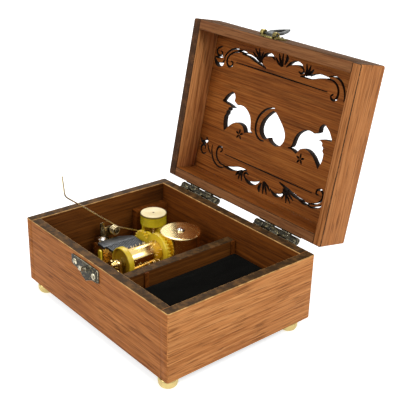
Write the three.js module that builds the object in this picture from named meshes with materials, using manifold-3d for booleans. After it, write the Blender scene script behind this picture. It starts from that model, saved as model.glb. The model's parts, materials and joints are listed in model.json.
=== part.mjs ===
// A wooden jewellery box with a sawn fretwork lid and a spring-driven pinned-cylinder music movement.
// Millimetres, +Z up, front towards -Y. The box stands on its four feet and the lid is open on its back hinges.
import * as THREE from 'three';
import { mergeVertices } from 'three/addons/utils/BufferGeometryUtils.js';
import Module from 'manifold-3d';

// Wooden base.
const box_length = 120;
const box_depth = 90;
const base_wall_height = 35.5;
const wall_thickness = 5.2;
const corner_rounding = 1.1;
const floor_thickness = 3;
const floor_recess = 2;
const divider_thickness = 5.2;
const divider_height = 19;
const batten_thickness = 1.2;
const batten_width = 2.4;
const front_batten_setback = 20.6;
const rear_batten_setback = 0.2;
const block_width = 4;
const block_length = 21.8;
const block_height = 20;

// Feet, each a brass bun under a corner.
const foot_height = 4.5;
const foot_diameter = 9.5;
const foot_sole_diameter = 6;
const foot_inset = 4.2;
const foot_side_inset = 4.75;
const far_foot_inset = 10.2;

// Velvet-covered pad in the tray.
const pad_height = 15;
const pad_crown = 0.9;
const pad_edge_drop = 1.6;
const pad_gap = 0.3;

// Wooden lid, in its closed place.
const lid_gap = 0.5;
const lid_height = 18;
const panel_thickness = 3.5;
const glue_gap = 0.15;
const open_angle = 100.8;

// Fretwork in the lid panel, about the panel's middle, as drawn on a panel of the first two sizes.
const fret_panel_length = 109.3;
const fret_panel_depth = 79.3;
const slot_length = 69;
const slot_width = 1;
const slot_offset = 25.6;
const heart_width = 20.5;
const heart_height = 17;
const bird_width = 25.5;
const bird_height = 20.5;
const bird_spacing = 54.5;
const bird_drop = 1.6;
const flower_offset = 23.4;
const flower_drop = 12.4;
const flower_reach = 3.1;
const flower_petal_width = 1.5;
const scroll_length = 46;
const scroll_height = 12.5;
const scroll_offset = 24.6;

// Butt hinges.
const hinge_length = 30;
const hinge_spacing = 61;
const hinge_barrel_diameter = 3.8;
const hinge_bore_diameter = 1.9;
const hinge_pin_diameter = 1.4;
const hinge_axis_setback = 2.5;
const hinge_leaf_thickness = 0.8;
const hinge_leaf_height = 6.5;
const hinge_leaf_margin = 1.5;
const knuckle_gap = 0.3;

// Catch, hasp bracket and hasp loop.
const latch_offset = -3.5;
const catch_plate_width = 23;
const catch_plate_height = 9.8;
const catch_plate_margin = 1.7;
const catch_hook_width = 2.2;
const catch_hook_height = 3;
const catch_hook_reach = 3.6;
const catch_hook_lip = 1;
const catch_hook_drop = 4.5;
const fitting_thickness = 0.8;
const bracket_width = 14;
const bracket_height = 8;
const bracket_margin = 0.5;
const hasp_axis_height = 2.7;
const hasp_axis_reach = 2;
const hasp_knuckle_diameter = 3.4;
const hasp_knuckle_width = 2.2;
const hasp_bore_diameter = 1.8;
const hasp_pin_diameter = 1.4;
const hasp_width = 9;
const hasp_length = 15;
const hasp_bar = 2;
const hasp_thickness = 1.2;
const hasp_tilt = 11;
const fitting_screw_diameter = 3.4;
const fitting_screw_dome = 0.6;
const fitting_screw_shank = 1.4;
const fitting_screw_length = 4;

// Bedplate of the movement, with its comb stand, bearing and spring posts.
const bed_thickness = 1.5;
const bed_length = 48.8;
const bed_depth = 54.5;
const bed_side_gap = 7.8;
const bed_divider_gap = 0.6;
const bed_rear_gap = 4.3;
const comb_stand_height = 10.3;
const comb_stand_length = 9;
const comb_stand_left = 1;
const comb_stand_depth = 13.6;
const bearing_thickness = 2.2;
const bearing_rounding = 2.3;
const bearing_shoulder = 9.6;
const bearing_shoulder_drop = 3.5;
const bearing_gap = 0.8;
const post_diameter = 2.8;
const post_height = 3.4;

// Pinned cylinder, its flange, gear and shaft.
const cylinder_diameter = 11.5;
const cylinder_length = 19.4;
const cylinder_from_divider = 19.8;
const cylinder_height = 11;
const cylinder_setback = 6.6;
const pin_length = 0.9;
const pin_width = 0.6;
const pin_rows = 18;
const pins_per_row = 3;
const flange_diameter = 16;
const flange_length = 3.2;
const shaft_diameter = 1.6;
const shaft_overhang = 0.3;
const gear_length = 2.9;
const gear_rim_length = 1.1;
const cylinder_gear_teeth = 28;
const gear_pitch_diameter = 17;
const tooth_tip = 0.7;
const tooth_root = 0.7;
const cylinder_gear_share = 0;
const idler_gear_share = 0.25;
const great_wheel_share = 0.1;

// Comb.
const comb_thickness = 1.5;
const comb_teeth = 18;
const comb_slot = 0.35;
const comb_slot_length = 11.5;
const comb_body_length = 6.4;
const comb_pin_gap = 0.3;
const comb_side_gap = 0.3;
const comb_front_overhang = 1.5;
const comb_chamfer_length = 6.6;
const comb_chamfer_width = 3.8;
const comb_screw_shank = 2;
const comb_screw_head = 3.8;
const comb_screw_height = 1.4;

// Spring housing, mainspring, great wheel, winding arbor and key.
const housing_diameter = 22.5;
const housing_wall = 0.8;
const housing_height = 16.1;
const housing_rounding = 1.2;
const housing_from_cylinder = 34;
const housing_side_offset = 2.2;
const ear_thickness = 1;
const ear_width = 4.8;
const ear_reach = 15.7;
const ear_angles = [15, 150];
const ear_screw_head = 3.6;
const ear_screw_height = 1.2;
const ear_screw_shank = 1.4;
const ear_screw_length = 3;
const spring_thickness = 0.5;
const spring_inner_diameter = 5.6;
const spring_outer_diameter = 18.6;
const spring_turns = 4;
const spring_end_gap = 1.1;
const wheel_clearance = 0.3;
const wheel_thickness = 1.2;
const wheel_diameter = 27;
const wheel_teeth = 41;
const wheel_tooth_height = 1.25;
const wheel_tooth_width = 0.62;
const wheel_rim = 1.8;
const arbor_diameter = 4;
const arbor_bore = 4.6;
const arbor_top_proud = 0.6;
const arbor_slot_width = 0.8;
const arbor_slot_depth = 0.9;
const key_ground_gap = 1.2;
const key_hub_diameter = 6.4;
const key_hub_height = 4.9;
const key_hub_floor = 1.1;
const key_wing_span = 17;
const key_wing_height = 4.4;
const key_wing_thickness = 1.4;
const key_hole_diameter = 7;

// Idler, worm wheel, governor and its frame.
const idler_teeth = 20;
const idler_drop = 1.43;
const idler_arbor_diameter = 1.4;
const worm_wheel_teeth = 24;
const worm_wheel_diameter = 10;
const worm_wheel_length = 2;
const worm_wheel_setback = 12;
const worm_diameter = 3.4;
const worm_core_diameter = 1.8;
const worm_length = 9;
const worm_lead = 1.5;
const worm_wheel_gap = 0.3;
const worm_tooth = 0.35;
const worm_end_gap = 0.5;
const governor_shaft_diameter = 1.2;
const drum_diameter = 14.7;
const drum_height = 6.5;
const drum_edge = 0.6;
const drum_floor_height = 15;
const frame_foot_thickness = 1.2;
const frame_foot_length = 16;
const frame_foot_depth = 13.9;
const frame_column_length = 2.6;
const frame_column_depth = 6;
const frame_arm_thickness = 1.4;
const frame_arm_gap = 0.3;
const frame_arm_reach = 1.9;
const front_lug_thickness = 1.6;
const front_lug_diameter = 10;
const rear_lug_thickness = 1.5;
const lug_leg_width = 4.6;
const idler_to_lug = 1.7;

// Stop wire, its bracket and pivot.
const bracket_foot_thickness = 1;
const bracket_foot_length = 6.6;
const bracket_foot_depth = 7;
const bracket_foot_setback = 2.1;
const bracket_plate_thickness = 1;
const bracket_tab_rise = 3;
const bracket_tab_depth = 2.5;
const bracket_plate_depth = 9.5;
const bracket_comb_gap = 0.35;
const bracket_plate_lap = 3;
const pivot_back_gap = 0.2;
const coil_offset = 3.25;
const pivot_rise = 4.2;
const pivot_diameter = 3;
const wire_diameter = 0.8;
const coil_diameter = 4.6;
const coil_pitch = 1.3;
const coil_turns = 3;
const coil_gap = 0.3;
const arm_wall_gap = 11.1;
const arm_tip_lean = 1.1;
const arm_bend_height = 25.3;
const arm_tip_height = 36.8;
const arm_spread = 2.4;
const rear_arm_length = 15;
const rear_arm_drop = 4.5;
const stop_screw_head = 5;
const stop_screw_height = 1.5;
const stop_screw_shank = 1.4;
const stop_screw_length = 4;
const stop_screw_setback = 4.7;

// Screws that hold the bedplate from under the floor.
const mount_screw_head = 5.2;
const mount_screw_height = 1.4;
const mount_screw_shank = 2.4;
const mount_screw_hole = 2.7;
const mount_screw_inset = 4;

// Fits and roundness.
const running_gap = 0.15;
const overrun = 1;
const round_steps = 16;
const fine_steps = 28;
const small_steps = 10;
const screw_steps = 8;
const worm_steps = 6;
const worm_sides = 6;
const curl_steps = 8;
const wire_sides = 5;

// Heights and planes that the pieces share.
const half_x = box_length / 2;
const half_y = box_depth / 2;
const inner_x = half_x - wall_thickness;
const inner_y = half_y - wall_thickness;
const floor_bottom = foot_height + floor_recess;
const floor_top = floor_bottom + floor_thickness;
const rim_z = foot_height + base_wall_height;
const lid_rim_z = rim_z + lid_gap;
const lid_top_z = lid_rim_z + lid_height;
const panel_bottom_z = lid_top_z - panel_thickness;
const divider_left = -inner_x + bed_side_gap + bed_length + bed_divider_gap;
const divider_right = divider_left + divider_thickness;
const batten_right = divider_right + batten_thickness;
const hinge_y = half_y + hinge_axis_setback;
const hinge_z = rim_z + lid_gap / 2;

const wasm = await Module();
wasm.setup();

/** Point of an outline. */
function at(x, y) {
  return new THREE.Vector2(x, y);
}

/** Welded copy of a closed geometry with its faces turned outwards. */
function weld(geometry) {
  const bare = geometry.index ? geometry.toNonIndexed() : geometry.clone();
  bare.deleteAttribute('normal');
  bare.deleteAttribute('uv');
  const welded = mergeVertices(bare);
  const places = welded.attributes.position;
  const index = welded.index.array;
  const kept = [];
  let volume = 0;
  for (let i = 0; i < index.length; i += 3) {
    const [a, b, c] = [index[i], index[i + 1], index[i + 2]];
    if (a === b || b === c || c === a) continue;
    kept.push(a, b, c);
    const [p, q, r] = [a, b, c].map((k) => new THREE.Vector3().fromBufferAttribute(places, k));
    volume += p.dot(q.cross(r));
  }
  if (volume < 0) kept.reverse();
  welded.setIndex(kept);
  return welded;
}

/** Solid of a closed geometry. */
function solid(geometry) {
  const welded = weld(geometry);
  const vertProperties = new Float32Array(welded.attributes.position.array);
  const triVerts = new Uint32Array(welded.index.array);
  return new wasm.Manifold(new wasm.Mesh({ numProp: 3, vertProperties, triVerts }));
}

/** Geometry of a solid. */
function surface(body) {
  const mesh = body.getMesh();
  const geometry = new THREE.BufferGeometry();
  geometry.setAttribute('position', new THREE.BufferAttribute(new Float32Array(mesh.vertProperties), 3));
  geometry.setIndex(new THREE.BufferAttribute(new Uint32Array(mesh.triVerts), 1));
  return geometry;
}

/** One geometry of several that overlap. */
function joined(...pieces) {
  return surface(pieces.map(solid).reduce((a, b) => a.add(b)));
}

/** A geometry less every cutter. */
function less(body, ...cutters) {
  return surface([body, ...cutters].map(solid).reduce((a, b) => a.subtract(b)));
}

/** Box between two values on each axis. */
function slab(x0, x1, y0, y1, z0, z1) {
  const box = new THREE.BoxGeometry(x1 - x0, y1 - y0, z1 - z0);
  return box.translate((x0 + x1) / 2, (y0 + y1) / 2, (z0 + z1) / 2);
}

const turned_axes = {
  x: new THREE.Matrix4().set(0, 0, 1, 0, 1, 0, 0, 0, 0, 1, 0, 0, 0, 0, 0, 1),
  y: new THREE.Matrix4().set(1, 0, 0, 0, 0, 0, -1, 0, 0, 1, 0, 0, 0, 0, 0, 1),
  z: new THREE.Matrix4(),
};

/** Outline wound clockwise or the other way. */
function wound(points, clockwise) {
  return THREE.ShapeUtils.isClockWise(points) === clockwise ? points : [...points].reverse();
}

/** Plate of an outline, from one place to another along an axis: outlines lie in YZ, XZ or XY. */
function plate(points, axis, from, to, holes = []) {
  const shape = new THREE.Shape(wound(points, false));
  shape.holes = holes.map((hole) => new THREE.Path(wound(hole, true)));
  const geometry = new THREE.ExtrudeGeometry(shape, { depth: to - from, bevelEnabled: false });
  geometry.translate(0, 0, axis === 'y' ? -to : from);
  return geometry.applyMatrix4(turned_axes[axis]);
}

/** Points round a circle, or round part of it. */
function ring(x, y, radius, steps = round_steps, start = 0, sweep = 2 * Math.PI) {
  const closed = sweep >= 2 * Math.PI;
  const count = closed ? steps : steps + 1;
  return Array.from({ length: count }, (_, i) => {
    const angle = start + (sweep * i) / steps;
    return at(x + radius * Math.cos(angle), y + radius * Math.sin(angle));
  });
}

/** Round bar of a radius between two places along an axis. */
function bar(axis, u, v, radius, from, to, steps = round_steps) {
  return plate(ring(u, v, radius, steps), axis, from, to);
}

/** Washer or tube along an axis. */
function tube(axis, u, v, outer, inner, from, to, steps = round_steps) {
  return plate(ring(u, v, outer, steps), axis, from, to, [ring(u, v, inner, steps)]);
}

/** Turned piece about +Z from radius and height pairs, its foot at the given place. */
function turned(profile, x, y, z, steps = round_steps) {
  return new THREE.LatheGeometry(profile, steps).rotateX(Math.PI / 2).translate(x, y, z);
}

/** Rectangle outline. */
function rectangle(x0, x1, y0, y1) {
  return [at(x0, y0), at(x1, y0), at(x1, y1), at(x0, y1)];
}

const materials = {
  wood: { color: 0x8f5a34, roughness: 0.62, metalness: 0 },
  panel: { color: 0x8a5128, roughness: 0.55, metalness: 0 },
  inner_wood: { color: 0x5a3a24, roughness: 0.7, metalness: 0 },
  bronze: { color: 0x5b4a2c, roughness: 0.42, metalness: 1 },
  brass: { color: 0xc9a24a, roughness: 0.3, metalness: 1 },
  gold: { color: 0xd6a548, roughness: 0.14, metalness: 1 },
  steel: { color: 0x6d6a66, roughness: 0.3, metalness: 1 },
  bright_steel: { color: 0xc4c2be, roughness: 0.22, metalness: 1 },
  yellow_plastic: { color: 0xd9b23c, roughness: 0.45, metalness: 0 },
  cream_plastic: { color: 0xe6dfc4, roughness: 0.5, metalness: 0 },
  velvet: { color: 0x14131a, roughness: 0.95, metalness: 0 },
};

const model = new THREE.Group();
const lid_hinge = new THREE.Group();
const lid = new THREE.Group();
lid_hinge.position.set(0, hinge_y, hinge_z);
lid_hinge.rotation.x = -THREE.MathUtils.degToRad(open_angle);
lid.position.set(0, -hinge_y, -hinge_z);
lid_hinge.add(lid);
model.add(lid_hinge);

/** Adds a named piece of a material to a group. */
function piece(name, geometry, material, group = model) {
  const mesh = new THREE.Mesh(weld(geometry), new THREE.MeshStandardMaterial(materials[material]));
  mesh.geometry.computeVertexNormals();
  mesh.name = name;
  group.add(mesh);
  return mesh;
}

// Places of the movement, each from the piece that carries it.
const bed_top = floor_top + bed_thickness;
const bed_right = divider_left - bed_divider_gap;
const bed_left = bed_right - bed_length;
const bed_back = inner_y - bed_rear_gap;
const bed_front = bed_back - bed_depth;
const cylinder_x = divider_left - cylinder_from_divider;
const cylinder_z = bed_top + cylinder_height;
const cylinder_y0 = bed_front + cylinder_setback;
const cylinder_y1 = cylinder_y0 + cylinder_length;
const flange_y0 = cylinder_y0 - flange_length;
const gear_y1 = cylinder_y1 + gear_length;
const tooth_y0 = cylinder_y1 + gear_rim_length;
const housing_x = cylinder_x + housing_side_offset;
const housing_y = cylinder_y0 + housing_from_cylinder;
const post_top = bed_top + post_height;
const housing_top = post_top + housing_height;
const comb_bottom = bed_top + comb_stand_height;
const comb_top = comb_bottom + comb_thickness;
const comb_tip = cylinder_x - cylinder_diameter / 2 - pin_length - comb_pin_gap;
const comb_root = comb_tip - comb_slot_length;
const comb_left = comb_root - comb_body_length;
const comb_y0 = cylinder_y0 + comb_side_gap;
const comb_y1 = cylinder_y1 - comb_side_gap;
const stand_left = bed_left + comb_stand_left;
const stand_right = stand_left + comb_stand_length;
const stand_front = comb_y0 - comb_front_overhang;
const stand_back = stand_front + comb_stand_depth;
const gear_pitch = gear_pitch_diameter / 2;
const gear_module = gear_pitch_diameter / cylinder_gear_teeth;
const idler_pitch = (gear_module * idler_teeth) / 2;
const idler_z = cylinder_z - idler_drop;
const idler_x = cylinder_x - Math.sqrt((gear_pitch + idler_pitch) ** 2 - idler_drop ** 2);
const worm_wheel_y = tooth_y0 + worm_wheel_setback + worm_wheel_length / 2;
const worm_x = idler_x - worm_wheel_diameter / 2 - worm_wheel_gap - worm_diameter / 2;
const drum_bottom = bed_top + drum_floor_height;
const post_places = ear_angles.map((angle) => {
  const turn = THREE.MathUtils.degToRad(angle);
  return at(housing_x + ear_reach * Math.cos(turn), housing_y + ear_reach * Math.sin(turn));
});
const mount_places = [
  at(bed_left + mount_screw_inset, bed_front + mount_screw_inset),
  at(bed_left + mount_screw_inset, bed_back - mount_screw_inset),
  at(bed_right - mount_screw_inset, bed_front + mount_screw_inset),
];
const comb_screw_x = (comb_left + stand_right) / 2;
const comb_screw_shares = [0.2, 0.75];
const comb_screw_places = comb_screw_shares.map((v) => at(comb_screw_x, stand_front + v * comb_stand_depth));
const pivot_y = stand_back - pivot_back_gap;
const pivot_z = comb_bottom + pivot_rise;
const coil_x = comb_left - coil_offset;
const coil_half = (coil_turns * coil_pitch) / 2;
const bracket_face = coil_x - coil_half - wire_diameter / 2 - coil_gap;
const bearing_y1 = flange_y0 - bearing_gap;
const bearing_y0 = bearing_y1 - bearing_thickness;
const housing_inner = housing_diameter / 2 - housing_wall;
const shaft_end = housing_y - Math.sqrt(housing_inner ** 2 - housing_side_offset ** 2) + shaft_overhang;
const front_lug_y0 = gear_y1 + idler_to_lug;
const front_lug_y1 = front_lug_y0 + front_lug_thickness;
const rear_lug_y1 = front_lug_y0 + frame_foot_depth;
const rear_lug_y0 = rear_lug_y1 - rear_lug_thickness;
const stop_screw_place = at(comb_left - stop_screw_head / 2 - 2 * running_gap, stand_front + stop_screw_setback);

/** Outline of a side wall with its two outer corners rounded, on the side that sign gives. */
function side_outline(sign) {
  const x0 = sign * (half_x - wall_thickness);
  const x1 = sign * half_x;
  const r = corner_rounding;
  const back = ring(x1 - sign * r, half_y - r, r, 3, 0, Math.PI / 2);
  const corner = back.map((p) => at(x1 - sign * r + sign * (p.x - (x1 - sign * r)), p.y));
  const front = corner.map((p) => at(p.x, -p.y)).reverse();
  return [at(x0, -half_y), ...front, ...corner, at(x0, half_y)];
}

// Screw places on the latch, from its middle line: shares of the plates that they hold.
const catch_screw_shares = [[-0.36, 0.32], [0.34, 0.46]];
const bracket_screw_share = 0.32;

/** Places of the two catch screws on the front wall. */
function catch_screws() {
  const top = rim_z - catch_plate_margin;
  const middle = latch_offset;
  return catch_screw_shares.map(([u, v]) => at(middle + u * catch_plate_width, top - v * catch_plate_height));
}

/** Places of the two bracket screws on the lid's front wall. */
function bracket_screws() {
  const z = lid_rim_z + bracket_margin + bracket_height - fitting_screw_diameter / 2 - fitting_thickness / 2;
  return [-1, 1].map((side) => at(latch_offset + side * bracket_screw_share * bracket_width, z));
}

/** Screw with a domed, slotted head whose seat is at the origin, its shank pointing down. */
function screw(head, height, shank, length, steps = screw_steps) {
  const rim = height / 2;
  const profile = [
    at(0, -length), at(shank / 2, -length), at(shank / 2, 0), at(head / 2, 0),
    at(head / 2, rim), at(head / 3, height), at(0, height),
  ];
  const body = turned(profile, 0, 0, 0, steps);
  const half_slot = shank / 6;
  return less(body, slab(-head, head, -half_slot, half_slot, rim, height + overrun));
}

/** The base: four walls, floor, divider, battens and block. */
function build_base() {
  const holes = catch_screws().map((p) => bar('y', p.x, p.y, fitting_screw_shank / 2 + running_gap,
    -half_y - overrun, -half_y + fitting_screw_length + running_gap, small_steps));
  piece('base_wall_left', plate(side_outline(-1), 'z', foot_height, rim_z), 'wood');
  piece('base_wall_right', plate(side_outline(1), 'z', foot_height, rim_z), 'wood');
  piece('base_wall_front', less(slab(-inner_x, inner_x, -half_y, -inner_y, foot_height, rim_z), ...holes), 'wood');
  piece('base_wall_back', slab(-inner_x, inner_x, inner_y, half_y, foot_height, rim_z), 'wood');
  const panel = plate(rectangle(-inner_x, inner_x, -inner_y, inner_y), 'z', floor_bottom, floor_top, [
    ring(housing_x, housing_y, key_hole_diameter / 2),
    ...mount_places.map((p) => ring(p.x, p.y, mount_screw_hole / 2, small_steps)),
  ]);
  piece('floor_panel', panel, 'inner_wood');
  const divider_top = floor_top + divider_height;
  piece('divider', slab(divider_left, divider_right, -inner_y, inner_y, floor_top, divider_top), 'inner_wood');
  const front_batten = -inner_y + front_batten_setback;
  piece('batten_front', slab(divider_right, batten_right, front_batten, front_batten + batten_width,
    floor_top, divider_top), 'inner_wood');
  const rear_batten = inner_y - rear_batten_setback;
  piece('batten_rear', slab(divider_right, batten_right, rear_batten - batten_width, rear_batten,
    floor_top, divider_top), 'inner_wood');
  piece('corner_block', slab(-inner_x, -inner_x + block_width, inner_y - block_length, inner_y,
    floor_top, floor_top + block_height), 'inner_wood');
}

/** The four feet: flat soles, swelling to a round belly and a flat top under the corners. */
function build_feet() {
  const sole = foot_sole_diameter / 2;
  const belly = foot_diameter / 2;
  const profile = [
    at(0, 0), at(sole, 0), at((sole + belly) / 2, foot_height / 6), at(belly, foot_height / 2),
    at(belly, 3 * foot_height / 4), at((sole + belly) / 2, foot_height), at(0, foot_height),
  ];
  for (const [name, sx, sy, inset_x, inset_y] of [
    ['front_left', -1, -1, far_foot_inset, foot_inset],
    ['front_right', 1, -1, foot_side_inset, foot_inset],
    ['rear_left', -1, 1, far_foot_inset, foot_inset],
    ['rear_right', 1, 1, foot_side_inset, far_foot_inset],
  ]) {
    const foot = turned(profile, sx * (half_x - inset_x), sy * (half_y - inset_y), 0, round_steps);
    piece(`foot_${name}`, foot, 'brass');
  }
}

/** The tray pad: a crowned block whose sides draw in towards its rounded upper edge. */
function build_pad() {
  const x0 = batten_right + pad_gap;
  const x1 = inner_x - pad_gap;
  const y0 = -inner_y + pad_gap;
  const y1 = inner_y - pad_gap;
  const across_shares = [0, 0.02, 0.06, 0.16, 0.33, 0.5, 0.67, 0.84, 0.94, 0.98, 1];
  const share = (u) => Math.min(1, Math.pow(Math.sin(Math.PI * u), 0.35));
  const top = pad_height - pad_crown;
  const places = [];
  for (const v of across_shares) {
    for (const u of across_shares) {
      const lift = share(u) * share(v);
      const height = top - pad_edge_drop + pad_edge_drop * lift + pad_crown * Math.sin(Math.PI * u) * Math.sin(Math.PI * v);
      places.push(x0 + u * (x1 - x0), y0 + v * (y1 - y0), floor_top + height);
    }
  }
  const n = across_shares.length;
  const faces = [];
  for (let j = 0; j + 1 < n; j += 1) {
    for (let i = 0; i + 1 < n; i += 1) {
      const a = j * n + i;
      faces.push(a, a + 1, a + n + 1, a, a + n + 1, a + n);
    }
  }
  const edge = [];
  for (let i = 0; i < n - 1; i += 1) edge.push(i);
  for (let j = 0; j < n - 1; j += 1) edge.push(j * n + n - 1);
  for (let i = n - 1; i > 0; i -= 1) edge.push((n - 1) * n + i);
  for (let j = n - 1; j > 0; j -= 1) edge.push(j * n);
  const draw = pad_gap;
  const middle = at((x0 + x1) / 2, (y0 + y1) / 2);
  const levels = [floor_top + top / 2, floor_top];
  const insets = [0, draw];
  let upper = edge;
  levels.forEach((z, k) => {
    const lower = edge.map((e) => {
      const x = places[3 * e];
      const y = places[3 * e + 1];
      places.push(x - insets[k] * Math.sign(x - middle.x) * (x === x0 || x === x1 ? 1 : 0),
        y - insets[k] * Math.sign(y - middle.y) * (y === y0 || y === y1 ? 1 : 0), z);
      return places.length / 3 - 1;
    });
    upper.forEach((a, i) => {
      const j = (i + 1) % upper.length;
      faces.push(lower[i], lower[j], upper[j], lower[i], upper[j], a);
    });
    upper = lower;
  });
  places.push(middle.x, middle.y, floor_top);
  const centre = places.length / 3 - 1;
  upper.forEach((a, i) => faces.push(centre, upper[(i + 1) % upper.length], a));
  const geometry = new THREE.BufferGeometry();
  geometry.setAttribute('position', new THREE.Float32BufferAttribute(places, 3));
  geometry.setIndex(faces);
  piece('tray_pad', geometry, 'velvet');
}

// Outlines of the fretwork, as shares of each figure's width and height.
const bird_shares = [
  [-0.5, 0.21], [-0.39, 0.08], [-0.37, -0.07], [-0.29, -0.25], [-0.16, -0.38], [0, -0.43], [0.14, -0.41],
  [0.22, -0.37], [0.23, -0.5], [0.3, -0.62], [0.4, -0.5], [0.5, -0.34], [0.38, -0.31], [0.24, -0.29],
  [0.31, -0.13], [0.34, 0.08], [0.34, 0.26], [0.33, 0.4], [0.22, 0.29], [0.12, 0.17], [0, 0.07],
  [-0.11, 0.04], [-0.22, 0.1], [-0.28, 0.21], [-0.38, 0.22],
];
const heart_shares = [
  [0, -0.52], [0.16, -0.38], [0.33, -0.2], [0.45, 0], [0.5, 0.2], [0.47, 0.36], [0.36, 0.47], [0.22, 0.48],
  [0.09, 0.42], [0, 0.31], [-0.09, 0.42], [-0.22, 0.48], [-0.36, 0.47], [-0.47, 0.36], [-0.5, 0.2],
  [-0.45, 0], [-0.33, -0.2], [-0.16, -0.38],
];
const petal_shares = [[0.16, 0], [0.5, 0.5], [0.86, 0.38], [1, 0], [0.86, -0.38], [0.5, -0.5]];
const petal_count = 5;

// Saw cuts of half a scroll band: each is a tapered stroke along places that are shares of the band's half length
// and height, with its greatest width as a share of the height.
const stroke_shares = [
  { width: 0.12, places: [[0.81, 0.16], [0.83, 0.02], [0.88, -0.06], [0.94, 0.05], [0.96, 0.3], [0.9, 0.56], [0.8, 0.7]] },
  { width: 0.2, places: [[0.78, 0.72], [0.68, 0.72], [0.58, 0.62], [0.49, 0.5], [0.42, 0.44]] },
  { width: 0.16, places: [[0.4, 0.4], [0.33, 0.32], [0.27, 0.22]] },
  { width: 0.12, places: [[0.51, 0.66], [0.5, 0.8], [0.53, 0.95]] },
  { width: 0.12, places: [[0.45, 0.58], [0.42, 0.76], [0.43, 0.93]] },
  { width: 0.1, places: [[0.38, 0.52], [0.34, 0.68], [0.34, 0.84]] },
  { width: 0.24, places: [[0.29, 0.66], [0.23, 0.84], [0.14, 0.82], [0.08, 0.6]] },
  { width: 0.14, places: [[0.035, 0.56], [0.06, 0.78], [0.075, 0.98]] },
  { width: 0.14, places: [[1.05, 0.06], [1.09, 0.2], [1.06, 0.4], [0.99, 0.62], [0.91, 0.76]] },
  { width: 0.1, places: [[1.12, 0.36], [1.15, 0.52], [1.11, 0.64], [1.04, 0.62]] },
];
const stroke_steps = 5;

/** Closed outline of a saw cut that tapers to a point at both ends. */
function stroke_outline(places, width) {
  const curve = new THREE.SplineCurve(places);
  const left = [];
  const right = [];
  for (let i = 0; i <= stroke_steps; i += 1) {
    const t = i / stroke_steps;
    const p = curve.getPoint(t);
    const along = curve.getTangent(t);
    const half = (width / 2) * Math.pow(Math.sin(Math.PI * t), 0.7);
    if (i === 0 || i === stroke_steps) left.push(p);
    else {
      left.push(at(p.x - along.y * half, p.y + along.x * half));
      right.unshift(at(p.x + along.y * half, p.y - along.x * half));
    }
  }
  return [...left, ...right];
}

/** Every opening of the fretwork as outlines in the lid's plan. */
function fretwork() {
  const cuts = [];
  const figure = (shares, width, height, x, y, side = 1) =>
    shares.map(([u, v]) => at(x + side * u * width, y + v * height));
  cuts.push(figure(heart_shares, heart_width, heart_height, 0, bird_drop));
  for (const side of [-1, 1]) {
    cuts.push(figure(bird_shares, bird_width, bird_height, (side * bird_spacing) / 2, bird_drop, side));
    for (let k = 0; k < petal_count; k += 1) {
      const angle = (2 * Math.PI * k) / petal_count - Math.PI / 2;
      cuts.push(petal_shares.map(([u, v]) => at(
        side * flower_offset + u * flower_reach * Math.cos(angle) - v * flower_petal_width * Math.sin(angle),
        flower_drop + u * flower_reach * Math.sin(angle) + v * flower_petal_width * Math.cos(angle),
      )));
    }
    const line = side * slot_offset;
    const end = slot_length / 2;
    const drop = (side * slot_width) / 2;
    cuts.push([at(-end, line), at(end, line), at(end - slot_width, line + drop), at(0, line + 2 * drop),
      at(slot_width - end, line + drop)]);
    for (const hand of [-1, 1]) {
      for (const { width, places } of stroke_shares) {
        const spots = places.map(([u, v]) => at(hand * u * scroll_length, side * (scroll_offset + v * scroll_height)));
        cuts.push(stroke_outline(spots, width * scroll_height));
      }
    }
  }
  const wide = (2 * (inner_x - glue_gap)) / fret_panel_length;
  const deep = (2 * (inner_y - glue_gap)) / fret_panel_depth;
  return cuts.map((cut) => cut.map((p) => at(p.x * wide, p.y * deep)));
}

/** The lid: four walls with glued joints and the sawn panel set between them. */
function build_lid() {
  const holes = bracket_screws().map((p) => bar('y', p.x, p.y, fitting_screw_shank / 2 + running_gap,
    -half_y - overrun, -half_y + fitting_screw_length + running_gap, small_steps));
  piece('lid_wall_left', plate(side_outline(-1), 'z', lid_rim_z, lid_top_z), 'wood', lid);
  piece('lid_wall_right', plate(side_outline(1), 'z', lid_rim_z, lid_top_z), 'wood', lid);
  const end = inner_x - glue_gap;
  piece('lid_wall_front', less(slab(-end, end, -half_y, -inner_y, lid_rim_z, lid_top_z), ...holes), 'wood', lid);
  piece('lid_wall_back', slab(-end, end, inner_y, half_y, lid_rim_z, lid_top_z), 'wood', lid);
  const side = inner_y - glue_gap;
  const board = slab(-end, end, -side, side, panel_bottom_z, lid_top_z);
  const saws = fretwork().map((cut) => plate(cut, 'z', panel_bottom_z - overrun, lid_top_z + overrun));
  piece('lid_panel', less(board, ...saws), 'panel', lid);
}

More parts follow.
